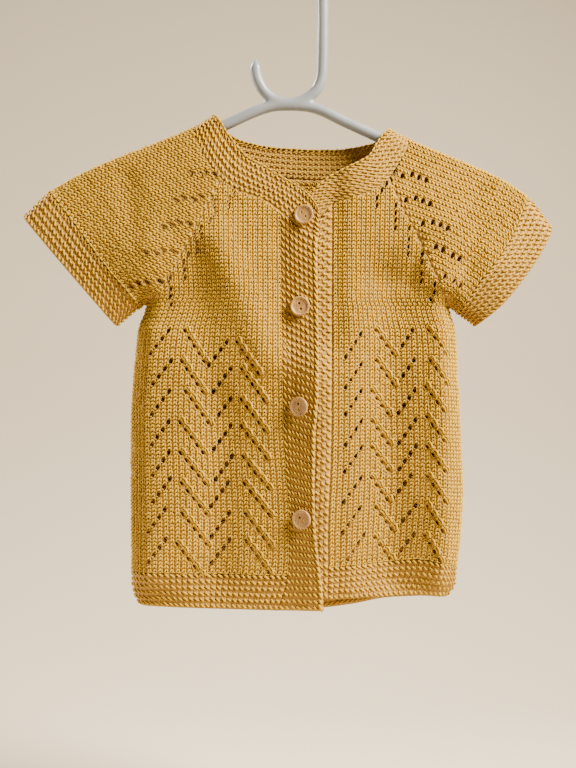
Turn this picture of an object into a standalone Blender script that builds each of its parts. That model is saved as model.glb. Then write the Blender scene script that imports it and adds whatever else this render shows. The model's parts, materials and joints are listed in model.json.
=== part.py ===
"""A knitted baby vest with short raglan sleeves, buttoned down the front, hanging on a moulded hanger.

All sizes are millimetres until a mesh is made. X runs to the viewer's right, Y away from the viewer
and Z up. The origin is the inside of the crown of the hanger's hook, where the hanger hangs.
The cloth is a wall of even thickness on a form given by its outline from the front and, at each
place, by its half depth: a round fold at the closed edges that swells to the full depth.
"""

from collections import namedtuple
from math import cos, pi, radians, sin

import bmesh
import bpy
import numpy as np
from mathutils import Matrix, Vector

MM = 0.001

WALL = 2.2            # cloth thickness
SEAM_GAP = 0.5        # between the edges of two pieces
FOLD_R = 7.2          # outer radius of the cloth where it folds over the hanger and at the sides
SWELL_REACH = 55.0    # from a folded edge to the full depth
SLEEVE_FLATTENING = 0.35
SLEEVE_FROM_X = 95.0
SLEEVE_REACH = 70.0
BACK_FLATNESS = 0.92  # the back hangs a little flatter than the front
LAP_DROP = 3.1        # how far the button band lies behind the buttonhole band
LAP_FROM_X = 27.0
LAP_REACH = 14.0
EDGE_STEP = 3.6       # arc length of the short faces round a fold
SLEEVE_GAP = 0.5      # sleeve edge to its seam line: more than half a seam, as its faces are longer
SIDE_GAP = 0.9        # between front and back at the side seam
SEAM_LIP = 1.0        # flat strip that ends a panel square at its side seam
CURVE_STEPS = 6       # points on each span of an outline
BAND_SLANT_END = 0.22 # share of a front band over which its slanted top turns level

TUBE_R = 4.2          # hanger tube
HOOK_R = 20.2         # centre line of the hook's crown
BUTTON_R = 7.0
BUTTON_H = 2.6
BUTTON_RIM = 1.5
BUTTON_DISH = 0.9
BUTTON_HOLE_R = 0.85
BUTTON_HOLE_PITCH = 4.0
BUTTON_SEAT = 0.4

Spot = namedtuple("Spot", "x z")
Level = namedtuple("Level", "z depth")
BandRow = namedtuple("BandRow", "inner_x inner_z outer_x outer_z")
Fold = namedtuple("Fold", "x_top z_top x_end z_end width rise")
Button = namedtuple("Button", "x z turn_deg spin_deg")

# Half depth of the front at each height.
DEPTHS = [
    Level(-100.0, 9.0),
    Level(-130.0, 13.0),
    Level(-165.0, 17.0),
    Level(-210.0, 21.0),
    Level(-280.0, 24.0),
    Level(-360.0, 22.0),
    Level(-430.0, 20.0),
    Level(-462.0, 18.5),
]

# Closed edges, from underarm to hem.
LEFT_SIDE = [
    Spot(-106.6, -239.5), Spot(-109.0, -247.0), Spot(-112.6, -256.0), Spot(-114.6, -272.0),
    Spot(-116.6, -294.0), Spot(-118.1, -318.0), Spot(-118.3, -366.0), Spot(-117.9, -423.0),
    Spot(-117.0, -443.5), Spot(-112.3, -455.0),
]
RIGHT_SIDE = [
    Spot(110.6, -241.5), Spot(112.8, -250.0), Spot(115.6, -259.0), Spot(117.4, -294.0),
    Spot(119.5, -337.0), Spot(121.0, -374.0), Spot(119.5, -402.0), Spot(116.8, -428.0),
    Spot(115.2, -441.5), Spot(109.4, -449.5),
]

# Raglan lines from neck to underarm.
LEFT_RAGLAN = [
    Spot(-52.6, -151.2), Spot(-65.5, -175.0), Spot(-75.6, -195.0), Spot(-85.7, -214.0),
    Spot(-96.0, -231.0), Spot(-106.6, -239.5),
]
RIGHT_RAGLAN = [
    Spot(67.0, -149.8), Spot(74.2, -167.8), Spot(83.5, -185.8), Spot(92.9, -205.2),
    Spot(102.2, -225.4), Spot(110.6, -241.5),
]
LEFT_BACK_RAGLAN = [
    Spot(-58.0, -136.0), Spot(-70.0, -163.0), Spot(-84.0, -195.0), Spot(-97.0, -226.0),
    Spot(-106.6, -239.5),
]
RIGHT_BACK_RAGLAN = [
    Spot(67.0, -138.5), Spot(78.0, -164.0), Spot(91.0, -195.0), Spot(102.5, -226.0),
    Spot(110.6, -241.5),
]

# Cuff seams and open cuff edges, from the top fold to the lower fold.
LEFT_CUFF_SEAM = [
    Spot(-175.7, -157.7), Spot(-153.4, -186.5), Spot(-133.2, -213.8), Spot(-116.0, -234.0),
    Spot(-110.8, -241.8),
]
LEFT_CUFF_EDGE = [
    Spot(-195.8, -176.4), Spot(-178.6, -196.6), Spot(-162.0, -216.0), Spot(-144.7, -236.2),
    Spot(-128.2, -255.6),
]
RIGHT_CUFF_SEAM = [
    Spot(166.5, -161.0), Spot(157.0, -184.3), Spot(147.0, -202.0), Spot(131.5, -222.0),
    Spot(116.6, -246.0),
]
RIGHT_CUFF_EDGE = [
    Spot(185.8, -184.3), Spot(175.0, -204.5), Spot(162.0, -223.2), Spot(147.6, -240.5),
    Spot(129.6, -255.6),
]

# Neckband, from the shoulder folds to the front ends and across the back.
NECK_LEFT = [
    BandRow(-58.3, -103.0, -72.7, -111.6),
    BandRow(-53.6, -108.4, -69.4, -124.0),
    BandRow(-47.5, -118.8, -63.4, -136.1),
    BandRow(-35.3, -133.9, -52.6, -151.2),
    BandRow(-20.9, -142.6, -38.2, -159.8),
    BandRow(-5.8, -151.9, -23.8, -164.9),
    BandRow(5.0, -158.4, -10.4, -174.0),
    BandRow(13.0, -166.3, 2.6, -185.0),
    BandRow(16.8, -173.5, 16.8, -192.6),
]
NECK_RIGHT = [
    BandRow(68.4, -113.0, 82.1, -120.2),
    BandRow(64.6, -116.5, 79.6, -130.0),
    BandRow(60.0, -121.7, 75.4, -138.0),
    BandRow(52.6, -133.9, 67.0, -149.8),
    BandRow(38.2, -141.8, 54.0, -159.1),
    BandRow(23.0, -149.8, 38.2, -164.9),
    BandRow(13.0, -158.4, 25.9, -169.0),
    BandRow(3.6, -166.3, 11.5, -184.3),
    BandRow(-2.9, -174.2, -2.9, -193.0),
]
NECK_BACK = [
    BandRow(-58.3, -103.0, -72.7, -111.6),
    BandRow(-53.6, -109.4, -69.4, -121.0),
    BandRow(-44.0, -118.0, -58.0, -136.0),
    BandRow(-23.0, -123.8, -28.0, -144.5),
    BandRow(0.0, -126.0, 0.0, -147.6),
    BandRow(21.6, -126.7, 21.6, -148.3),
    BandRow(38.2, -126.0, 44.0, -146.9),
    BandRow(58.3, -121.7, 67.0, -138.5),
    BandRow(64.6, -117.0, 79.0, -128.0),
    BandRow(68.4, -113.0, 82.1, -120.2),
]

# Front bands, from the neckband to the hem edge.
BUTTONHOLE_LEFT = [
    Spot(-10.1, -174.6), Spot(-10.1, -207.4), Spot(-8.6, -308.0), Spot(-7.9, -337.0),
    Spot(-4.6, -386.6), Spot(-5.4, -431.0), Spot(-12.5, -457.0),
]
BUTTONHOLE_RIGHT = [
    Spot(16.6, -193.2), Spot(15.8, -207.4), Spot(16.6, -294.0), Spot(13.9, -337.0),
    Spot(13.9, -394.6), Spot(18.7, -436.3), Spot(20.2, -456.5),
]
BUTTON_BAND_LEFT = [Spot(-2.9, -193.6), Spot(-2.9, -300.0), Spot(-4.0, -400.0), Spot(-2.0, -449.5)]
BUTTON_BAND_RIGHT = [
    Spot(26.4, -169.6), Spot(26.0, -237.0), Spot(25.6, -337.0), Spot(23.4, -395.0), Spot(23.4, -449.0),
]

# Where the panels meet the hem bands, and the hem's own edge.
LEFT_HEM_TOP = [Spot(-118.0, -429.8), Spot(-61.9, -430.6), Spot(-5.0, -431.3)]
RIGHT_HEM_TOP = [Spot(23.4, -425.5), Spot(60.0, -423.0), Spot(90.0, -420.8), Spot(117.5, -427.0)]
BACK_HEM_TOP = [Spot(-118.0, -430.0), Spot(0.0, -431.5), Spot(117.5, -427.0)]
LEFT_HEM_EDGE = [Spot(-112.3, -455.0), Spot(-61.9, -455.6), Spot(-12.5, -457.0)]
RIGHT_HEM_EDGE = [Spot(23.4, -449.0), Spot(60.0, -447.9), Spot(90.0, -447.4), Spot(109.4, -449.5)]
BACK_HEM_EDGE = [
    Spot(-112.3, -455.0), Spot(-61.9, -457.2), Spot(-7.9, -459.2), Spot(18.0, -460.1),
    Spot(43.2, -457.0), Spot(67.7, -452.4), Spot(109.4, -449.5),
]

# The largest folds. A positive rise stands outwards.
FRONT_FOLDS = [
    Fold(-54.0, -196.0, -18.0, -280.0, 13.0, 4.4),
    Fold(-72.0, -208.0, -59.0, -300.0, 14.0, -3.4),
    Fold(-52.0, -322.0, -56.0, -430.0, 19.0, -5.4),
    Fold(-108.0, -205.0, -106.0, -430.0, 16.0, 5.0),
    Fold(-10.0, -190.0, -8.0, -262.0, 7.0, -1.4),
    Fold(17.0, -292.0, 18.0, -452.0, 18.0, 7.0),
    Fold(67.0, -225.0, 69.0, -435.0, 19.0, -9.0),
    Fold(107.0, -228.0, 108.0, -430.0, 12.0, 7.6),
    Fold(88.0, -196.0, 82.0, -225.0, 6.0, -2.0),
    Fold(-120.0, -150.0, -112.0, -205.0, 9.0, -2.2),
    Fold(132.0, -160.0, 122.0, -215.0, 9.0, -2.2),
]
BACK_FOLDS = [
    Fold(-62.0, -165.0, -74.0, -275.0, 11.0, -2.4),
    Fold(70.0, -170.0, 80.0, -280.0, 11.0, -2.4),
    Fold(4.0, -175.0, -6.0, -330.0, 16.0, -1.8),
    Fold(-48.0, -300.0, -52.0, -420.0, 13.0, 2.0),
    Fold(46.0, -310.0, 50.0, -425.0, 14.0, 1.8),
    Fold(-124.0, -158.0, -116.0, -210.0, 9.0, -1.6),
    Fold(130.0, -165.0, 124.0, -215.0, 9.0, -1.6),
]

# Hanger centre lines.
HOOK_STEM = [
    Spot(20.2, -40.0), Spot(19.8, -66.0), Spot(19.2, -75.0), Spot(17.0, -82.0), Spot(13.0, -87.4),
    Spot(5.6, -92.4), Spot(-4.3, -94.5), Spot(-14.4, -92.2), Spot(-21.6, -86.8), Spot(-26.0, -79.8),
    Spot(-28.2, -73.0), Spot(-28.4, -69.0),
]
ARMS = [
    Spot(-139.0, -146.8), Spot(-116.6, -136.4), Spot(-94.0, -127.9), Spot(-72.7, -119.5),
    Spot(-51.1, -110.6), Spot(-23.0, -98.4), Spot(-5.0, -96.0), Spot(14.8, -98.2),
    Spot(36.0, -107.9), Spot(60.5, -119.0), Spot(82.1, -128.0), Spot(104.4, -137.4),
    Spot(124.0, -147.4), Spot(137.0, -154.2),
]
NUB_NECK_RISE = 4.3
NUB_NECK_SHARE = 0.24
NUB = [(0.5, 0.42), (1.3, 0.50), (2.1, 0.40), (2.5, 0.20)]  # rise above the neck, share of the radius

BUTTONS = [
    Button(6.5, -177.1, -12.0, -45.0),
    Button(3.6, -241.9, -6.0, -71.0),
    Button(3.6, -312.5, -9.0, -81.0),
    Button(5.2, -391.7, -4.0, -49.0),
]


def ease(t):
    """Smooth step from 0 to 1."""
    t = np.clip(t, 0.0, 1.0)
    return t * t * (3.0 - 2.0 * t)


def smooth_curve(rows, per_span=CURVE_STEPS):
    """Points along a smooth curve through a table's rows."""
    p = np.array([tuple(row) for row in rows], dtype=float)
    ends = np.vstack([2 * p[0] - p[1], p, 2 * p[-1] - p[-2]])
    t = np.linspace(0.0, 1.0, per_span, endpoint=False)[:, None]
    out = []
    for k in range(len(p) - 1):
        a, b, c, d = ends[k:k + 4]
        out.append(0.5 * (2 * b + (c - a) * t + (2 * a - 5 * b + 4 * c - d) * t ** 2
                          + (3 * b - a - 3 * c + d) * t ** 3))
    return np.vstack(out + [p[-1:]])


def arc_lengths(points):
    """Distance along a line of points, from 0."""
    steps = np.linalg.norm(np.diff(points, axis=0), axis=1)
    return np.concatenate([[0.0], np.cumsum(steps)])


def along(points, places):
    """The line's points at given fractions of its length."""
    arc = arc_lengths(points)
    where = np.asarray(places) * arc[-1]
    return np.stack([np.interp(where, arc, column) for column in points.T], axis=-1)


def moved_over(points, distance):
    """The line moved sideways in the front view, to the left of its direction."""
    run = np.gradient(points, axis=0)
    run /= np.linalg.norm(run, axis=1)[:, None]
    return points + distance * np.stack([-run[:, 1], run[:, 0]], axis=-1)


def x_at(points, z):
    """X of a line that runs downwards, at a height."""
    order = np.argsort(points[:, 1])
    return np.interp(z, points[order, 1], points[order, 0])


def unit(vectors):
    """The same directions with length 1."""
    return vectors / np.linalg.norm(vectors, axis=-1, keepdims=True)


def hermite(start, end, start_run, end_run, t):
    """A smooth span between two places with a given run at each."""
    return (start * (2 * t ** 3 - 3 * t ** 2 + 1) + start_run * (t ** 3 - 2 * t ** 2 + t)
            + end * (3 * t ** 2 - 2 * t ** 3) + end_run * (t ** 3 - t ** 2))


def along_sleeve(start, seam, edge, t):
    """A place on the sleeve (t from 0 to 1) or on the cuff (t from 1 to 2), smooth across the seam."""
    first, second = seam - start, edge - seam
    shared = unit(unit(first) + unit(second))
    if t <= 1.0:
        length = np.linalg.norm(first, axis=-1, keepdims=True)
        return hermite(start, seam, first, shared * length, t)
    length = np.linalg.norm(second, axis=-1, keepdims=True)
    return hermite(seam, edge, shared * length, second, t - 1.0)


def closed_edges():
    """The folded edges of the whole garment in the front view, as four lines."""
    places = np.linspace(0.0, 2.0, 25)
    lines = []
    for neck, seam, edge, side in (
        (NECK_LEFT, LEFT_CUFF_SEAM, LEFT_CUFF_EDGE, LEFT_SIDE),
        (NECK_RIGHT, RIGHT_CUFF_SEAM, RIGHT_CUFF_EDGE, RIGHT_SIDE),
    ):
        shoulder = np.array([neck[0].inner_x, neck[0].inner_z])
        corner = np.array([neck[0].outer_x, neck[0].outer_z])
        high = [along_sleeve(corner, np.array(seam[0]), np.array(edge[0]), t) for t in places]
        low = [along_sleeve(np.array(side[0]), np.array(seam[-1]), np.array(edge[-1]), t) for t in places]
        beyond = high[-1] + 10.0 * unit(high[-1] - high[-2])
        below = low[-1] + 10.0 * unit(low[-1] - low[-2])
        lines.append(np.vstack([shoulder, high, beyond]))
        lines.append(np.vstack([below, low[::-1], smooth_curve(side)[1:]]))
    return lines


EDGES = closed_edges()


def edge_distance(xz):
    """Distance in the front view from each point to the nearest folded edge."""
    best = np.full(xz.shape[:-1], 1e9)
    for line in EDGES:
        for a, b in zip(line[:-1], line[1:]):
            run = b - a
            t = np.clip(((xz - a) @ run) / (run @ run), 0.0, 1.0)
            best = np.minimum(best, np.linalg.norm(xz - a - t[..., None] * run, axis=-1))
    return best


def fold_rise(xz, folds):
    """Sum of the soft ridges and troughs at each point."""
    total = np.zeros(xz.shape[:-1])
    for fold in folds:
        a = np.array([fold.x_top, fold.z_top])
        run = np.array([fold.x_end, fold.z_end]) - a
        t = np.clip(((xz - a) @ run) / (run @ run), 0.0, 1.0)
        off = np.linalg.norm(xz - a - t[..., None] * run, axis=-1)
        total += fold.rise * np.exp(-(off / fold.width) ** 2)
    return total


def half_depth(xz, back=False):
    """How far the cloth's outer face stands from the middle plane."""
    edge = edge_distance(xz)
    levels = np.array(DEPTHS)[::-1]
    full = np.interp(xz[..., 1], levels[:, 0], levels[:, 1])
    full = full * (1.0 - SLEEVE_FLATTENING * ease((np.abs(xz[..., 0]) - SLEEVE_FROM_X) / SLEEVE_REACH))
    if back:
        full = full * BACK_FLATNESS
    near = np.clip(edge / FOLD_R, 0.0, 1.0)
    rounding = FOLD_R * np.sqrt(1.0 - (1.0 - near) ** 2)
    swell = np.sin(0.5 * pi * np.clip(edge / SWELL_REACH, 0.0, 1.0))
    folds = fold_rise(xz, BACK_FOLDS if back else FRONT_FOLDS)
    return rounding + np.maximum(full - FOLD_R, 0.0) * swell + folds * ease(edge / (2.0 * FOLD_R))


def lap_drop(x):
    """How far the viewer's right front sinks towards and under the buttonhole band."""
    return LAP_DROP * (1.0 - ease((x - LAP_FROM_X) / LAP_REACH))


def on_front(xz, drop=None):
    """Front-view points placed on the front of the garment."""
    depth = half_depth(xz) + SEAM_GAP / 2
    if drop is not None:
        depth = depth - drop(xz[..., 0])
    return np.stack([xz[..., 0], -depth, xz[..., 1]], axis=-1)


def on_back(xz):
    """Front-view points placed on the back of the garment."""
    depth = half_depth(xz, back=True) + SEAM_GAP / 2
    return np.stack([xz[..., 0], depth, xz[..., 1]], axis=-1)


def eased_line(a, b, folded_a, folded_b, count=160):
    """Points from a to b, close together at an end that lies on a fold."""
    t = np.linspace(0.0, 1.0, count)
    if folded_a and folded_b:
        t = 0.5 - 0.5 * np.cos(pi * t)
    elif folded_a:
        t = 1.0 - np.cos(0.5 * pi * t)
    elif folded_b:
        t = np.sin(0.5 * pi * t)
    return np.array(a) + (np.array(b) - np.array(a)) * t[:, None]


def short_then_even(total, count, short_a, short_b):
    """Fractions of a length with three short steps at a folded end and even ones between."""
    step = min(EDGE_STEP, 0.6 * total / count)
    head = [step * k for k in range(4)] if short_a else [0.0]
    tail = [total - step * k for k in range(3, -1, -1)] if short_b else [total]
    middle = np.linspace(head[-1], tail[0], count - (len(head) - 1) - (len(tail) - 1) + 1)[1:-1]
    return np.concatenate([head, middle, tail]) / total


def with_lip(points, at_start):
    """Ends a row square at a side seam, with a short flat strip."""
    end = points[0] if at_start else points[-1]
    side = np.sign(end[1])
    outer = np.array([end[0], side * SEAM_LIP, end[2]])
    lip = np.array([end[0], side * SIDE_GAP / 2, end[2]])
    if at_start:
        return np.vstack([lip, outer, points[1:]])
    return np.vstack([points[:-1], outer, lip])


def make_material(name, colour, roughness, metallic=0.0):
    """A Principled material."""
    material = bpy.data.materials.new(name)
    material.use_nodes = True
    shader = material.node_tree.nodes["Principled BSDF"]
    shader.inputs["Base Color"].default_value = (*colour, 1.0)
    shader.inputs["Roughness"].default_value = roughness
    shader.inputs["Metallic"].default_value = metallic
    material.diffuse_color = (*colour, 1.0)
    return material


def link_piece(name, mesh, material, collection):
    """Makes one named object from a mesh."""
    mesh.materials.append(material)
    piece = bpy.data.objects.new(name, mesh)
    collection.objects.link(piece)
    return piece


def cloth(name, grid, material, collection, ring=False):
    """A cloth wall: an open surface through rows of points, thickened inwards."""
    bm = bmesh.new()
    rows = [[bm.verts.new(point * MM) for point in row] for row in grid]
    for upper, lower in zip(rows[:-1], rows[1:]):
        columns = len(upper) if ring else len(upper) - 1
        for k in range(columns):
            after = (k + 1) % len(upper)
            bm.faces.new((upper[k], lower[k], lower[after], upper[after]))
    mesh = bpy.data.meshes.new(name)
    bm.to_mesh(mesh)
    bm.free()
    mesh.shade_smooth()
    piece = link_piece(name, mesh, material, collection)
    wall = piece.modifiers.new("Wall", "SOLIDIFY")
    wall.thickness = WALL * MM
    wall.offset = -1.0
    return piece


def front_rows(levels, start_x, end_x, seat, columns, side, hem):
    """Rows of a front panel. side says which end is on the side seam once below the underarm."""
    grid = []
    for z in levels:
        low = np.clip((levels[0] - z) / (levels[0] - levels[-1]), 0.0, 1.0) ** 3
        below_arm = z < UNDERARM_Z[side]
        ends = [np.array([start_x(z), z]), np.array([end_x(z), z])]
        for k, (end, edge_x) in enumerate(zip(ends, (start_x, end_x))):
            end[1] += low * (np.interp(end[0], hem[:, 0], hem[:, 1]) - levels[-1])
            on_side = below_arm and k == (side == "right")
            end[0] = x_at(SIDES[side], end[1]) if on_side else edge_x(end[1])
        folded = (below_arm and side == "left", below_arm and side == "right")
        path = eased_line(ends[0], ends[1], *folded)
        path[:, 1] = z + low * (np.interp(path[:, 0], hem[:, 0], hem[:, 1]) - levels[-1])
        placed = seat(path)
        total = arc_lengths(placed)[-1]
        row = along(placed, short_then_even(total, columns, side == "left", side == "right"))
        grid.append(with_lip(row, side == "left") if below_arm else padded(row, side == "left"))
    return grid


def padded(row, at_start):
    """Gives a row that has no lip the same number of points as one that has."""
    if at_start:
        return np.vstack([row[:1], 0.85 * row[:1] + 0.15 * row[1:2], row[1:]])
    return np.vstack([row[:-1], 0.85 * row[-1:] + 0.15 * row[-2:-1], row[-1:]])


UNDERARM_Z = {"left": LEFT_SIDE[0].z - 0.4, "right": RIGHT_SIDE[0].z - 0.4}
SIDES = {"left": smooth_curve(LEFT_SIDE), "right": smooth_curve(RIGHT_SIDE)}
FRONT_LEVELS = [-156.5, -160.0, -165.0, -171.0, -177.0, -188.0, -200.0, -213.0, -225.0, -235.0]
BODY_LEVELS = [-250.0, -262.0, -280.0, -300.0, -320.0, -340.0, -360.0, -380.0, -400.0, -416.0]
PANEL_END = -430.0


def neck_outer(rows, first=0, last=None):
    """The neckband's outer edge as a smooth curve, or its stretch between two of the table's rows."""
    curve = smooth_curve([Spot(row.outer_x, row.outer_z) for row in rows], CURVE_STEPS)
    last = len(rows) - 1 if last is None else last
    return curve[first * CURVE_STEPS:last * CURVE_STEPS + 1]


def neck_inner(rows):
    """The neckband's inner edge as a smooth curve."""
    return smooth_curve([Spot(row.inner_x, row.inner_z) for row in rows], CURVE_STEPS)


def build_right_front(material, collection):
    """The wearer's right front, on the viewer's left."""
    raglan = moved_over(smooth_curve(LEFT_RAGLAN), SEAM_GAP / 2)
    neck = moved_over(neck_outer(NECK_LEFT, 3, 6), -SEAM_GAP / 2)
    band = moved_over(smooth_curve(BUTTONHOLE_LEFT), -SEAM_GAP)
    hem = moved_over(smooth_curve(LEFT_HEM_TOP), SEAM_GAP / 2)

    def start_x(z):
        return x_at(raglan, z)

    def end_x(z):
        return x_at(neck, z) if z > -173.5 else x_at(band, z)

    levels = FRONT_LEVELS + [-241.0, -245.0] + BODY_LEVELS + [PANEL_END]
    grid = front_rows(levels, start_x, end_x, on_front, 12, "left", hem)
    return cloth("right_front", grid, material, collection)


def build_left_front(material, collection):
    """The wearer's left front, on the viewer's right."""
    raglan = moved_over(smooth_curve(RIGHT_RAGLAN), -SEAM_GAP / 2)
    neck = moved_over(neck_outer(NECK_RIGHT, 3, 6), SEAM_GAP / 2)
    band = moved_over(smooth_curve(BUTTON_BAND_RIGHT), SEAM_GAP)
    hem = moved_over(smooth_curve(RIGHT_HEM_TOP), SEAM_GAP / 2)

    def start_x(z):
        return x_at(neck, z) if z > -169.0 else x_at(band, z)

    def end_x(z):
        return x_at(raglan, z)

    levels = [-154.5, -158.0, -162.5, -168.0, -173.0] + FRONT_LEVELS[5:]
    levels += [-244.0, -248.0] + BODY_LEVELS[1:] + [-424.0]
    grid = front_rows(levels, start_x, end_x, lambda xz: on_front(xz, lap_drop), 12, "right", hem)
    return cloth("left_front", grid, material, collection)


def both_sides_row(z_of, x_left, x_right, folded, columns):
    """A row of the back, or of its hem band, from the left side to the right side."""
    path = eased_line((x_left, 0.0), (x_right, 0.0), folded, folded, 320)
    path[:, 1] = z_of(path[:, 0])
    placed = on_back(path)
    total = arc_lengths(placed)[-1]
    row = along(placed, short_then_even(total, columns, True, True))
    if folded:
        return with_lip(with_lip(row, True), False)
    return padded(padded(row, True), False)


def build_back(material, collection):
    """The back, up to the neckband, with its top row following the neck."""
    left = moved_over(smooth_curve(LEFT_BACK_RAGLAN), SEAM_GAP / 2)
    right = moved_over(smooth_curve(RIGHT_BACK_RAGLAN), -SEAM_GAP / 2)
    neck = moved_over(neck_outer(NECK_BACK, 2, 7), -SEAM_GAP / 2)
    hem = moved_over(smooth_curve(BACK_HEM_TOP), SEAM_GAP / 2)
    grid = []
    top_z = -139.5
    levels = [top_z, -147.0, -156.0, -168.0, -182.0, -196.0, -210.0, -224.0, -235.0]
    levels += [-243.0, -248.0] + BODY_LEVELS[1:] + [PANEL_END]
    for z in levels:
        dip = 1.0 - ease((top_z - z) / 60.0)
        low = ((top_z - z) / (top_z - PANEL_END)) ** 3
        below_arm = z < UNDERARM_Z["right"]

        def z_of(x):
            sunk = np.minimum(np.interp(x, neck[:, 0], neck[:, 1]) - top_z, 0.0)
            return z + dip * sunk + low * (np.interp(x, hem[:, 0], hem[:, 1]) - PANEL_END)

        if below_arm:
            ends = [x_at(SIDES[side], z_of(np.array(x_at(SIDES[side], z)))) for side in SIDES]
        else:
            ends = [x_at(left, z), x_at(right, z)]
        grid.append(both_sides_row(z_of, ends[0], ends[1], below_arm, 22)[::-1])
    return cloth("back", grid, material, collection)


def hem_band(name, top, edge, seat, columns, material, collection, side=None, band=None):
    """A hem band between the panel's lower edge and the hem's own edge, up to a front band's long edge."""
    upper = moved_over(smooth_curve(top), -SEAM_GAP / 2)
    lower = smooth_curve(edge)
    grid = []
    for t in (0.0, 0.5, 1.0):
        def z_of(x):
            above = np.interp(x, upper[:, 0], upper[:, 1])
            return above + t * (np.interp(x, lower[:, 0], lower[:, 1]) - above)

        ends = []
        for k, end_side in enumerate(SIDES):
            line = SIDES[end_side] if side in (None, end_side) else band
            x = x_at(line, upper[-k, 1] + t * (lower[-k, 1] - upper[-k, 1]))
            ends.append(x_at(line, z_of(np.array(x))))
        if side is None:
            grid.append(both_sides_row(z_of, ends[0], ends[1], True, columns)[::-1])
            continue
        path = eased_line((ends[0], 0.0), (ends[1], 0.0), side == "left", side == "right")
        path[:, 1] = z_of(path[:, 0])
        placed = seat(path)
        total = arc_lengths(placed)[-1]
        row = along(placed, short_then_even(total, columns, side == "left", side == "right"))
        grid.append(with_lip(row, side == "left"))
    return cloth(name, grid, material, collection)


def band_between(name, left, right, top, seat, material, collection):
    """A front band between its two long edges, its top edge following the neckband's end."""
    fractions = np.linspace(0.0, 1.0, 26)
    across = np.linspace(0.0, 1.0, 5)
    a = along(smooth_curve(left), fractions)
    b = along(smooth_curve(right), fractions)
    head = np.stack([np.interp(a[0, 0] + (b[0, 0] - a[0, 0]) * across, top[:, 0], c) for c in top.T], -1)
    bend = head - (a[0] + (b[0] - a[0]) * across[:, None])
    grid = []
    for k, t in enumerate(fractions):
        row = a[k] + (b[k] - a[k]) * across[:, None]
        grid.append(seat(row + bend * (1.0 - ease(t / BAND_SLANT_END))))
    return cloth(name, grid, material, collection)


def build_neckband(material, collection):
    """The band round the neck: one front end, over the shoulder, the back, and the other front end."""
    across = np.linspace(0.0, 1.0, 4)[:, None]
    parts = []
    for rows, seat, sign in (
        (NECK_LEFT, on_front, -1.0),
        (NECK_BACK, on_back, -1.0),
        (NECK_RIGHT, lambda xz: on_front(xz, lap_drop), 1.0),
    ):
        inner = neck_inner(rows)
        outer = moved_over(neck_outer(rows), sign * -SEAM_GAP / 2)
        fine = np.linspace(0.0, 1.0, 25 * len(rows))
        fine = 1.0 - np.cos(0.5 * pi * fine) if rows is not NECK_BACK else 0.5 - 0.5 * np.cos(pi * fine)
        index = np.linspace(0.0, 1.0, len(inner))
        inner = np.stack([np.interp(fine, index, c) for c in inner.T], axis=-1)
        outer = np.stack([np.interp(fine, index, c) for c in outer.T], axis=-1)
        parts.append(seat(inner[:, None] + (outer - inner)[:, None] * across[None]))
    left, back, right = parts
    left[0, :, 1] = 0.0
    right[0, :, 1] = 0.0
    whole = np.concatenate([left[::-1], back[1:-1], right])
    middle = arc_lengths(whole[:, 1])
    places = np.linspace(0.0, middle[-1], 66)
    grid = np.stack([np.stack([np.interp(places, middle, whole[:, k, axis]) for axis in range(3)], -1)
                     for k in range(len(across))], axis=1)
    return cloth("neckband", grid, material, collection)


def ring_of(front_path, back_path, columns):
    """A closed ring round a flattened tube, from its top fold down the front and up the back."""
    front, back = on_front(front_path), on_back(back_path)
    front[0, 1] = front[-1, 1] = back[0, 1] = back[-1, 1] = 0.0
    halves = []
    for side in (front, back):
        total = arc_lengths(side)[-1]
        halves.append(along(side, short_then_even(total, columns, True, True)))
    return np.vstack([halves[0], halves[1][-2:0:-1]])


def eased_path(points):
    """A bent line with its points close together at both ends."""
    return along(points, 0.5 - 0.5 * np.cos(pi * np.linspace(0.0, 1.0, 160)))


def sleeve_start(neck, raglan, gap):
    """The sleeve's inner edge: along the neckband from the top fold, then down the raglan line."""
    return moved_over(np.vstack([neck, smooth_curve(raglan)[1:]]), gap)


def build_sleeve(name, neck_front, raglan_front, raglan_back, seam, edge, out, material, collection):
    """A short sleeve between the raglan lines and the cuff seam. out is -1 for the viewer's left."""
    gap = out * SLEEVE_GAP
    neck_back = neck_outer(NECK_BACK, 0, 2) if out < 0 else neck_outer(NECK_BACK, 7)[::-1]
    front = eased_path(sleeve_start(neck_outer(neck_front, 0, 3), raglan_front, gap))
    back = eased_path(sleeve_start(neck_back, raglan_back, gap))
    end = eased_path(smooth_curve(seam))
    rim = eased_path(smooth_curve(edge))
    last = 1.0 - 0.5 * SEAM_GAP / np.linalg.norm(end[0] - front[0])
    grid = []
    for t in np.linspace(0.0, last, 9):
        grid.append(ring_of(along_sleeve(front, end, rim, t), along_sleeve(back, end, rim, t), 15))
    if out > 0:
        grid = grid[::-1]
    return cloth(name, grid, material, collection, ring=True)


def build_cuff(name, neck, side, seam, edge, out, material, collection):
    """A garter band round the sleeve's end, open at its edge."""
    corner, underarm = np.array([neck[0].outer_x, neck[0].outer_z]), np.array(side[0])
    start = eased_line(corner, underarm, True, True)
    end = eased_path(smooth_curve(seam))
    rim = eased_path(smooth_curve(edge))
    first = 1.0 + 0.5 * SEAM_GAP / np.linalg.norm(rim[0] - end[0])
    grid = []
    for t in (first, 1.35, 2.0):
        path = along_sleeve(start, end, rim, t)
        grid.append(ring_of(path, path, 15))
    if out > 0:
        grid = grid[::-1]
    return cloth(name, grid, material, collection, ring=True)


def front_normal(x, z):
    """Outward direction of the front at a place."""
    step = 1.5
    at = np.array([[x - step, z], [x + step, z], [x, z - step], [x, z + step]])
    p = on_front(at)
    n = np.cross(p[3] - p[2], p[1] - p[0])
    return Vector(n / np.linalg.norm(n)) * (-1.0 if n[1] > 0 else 1.0)


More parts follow.
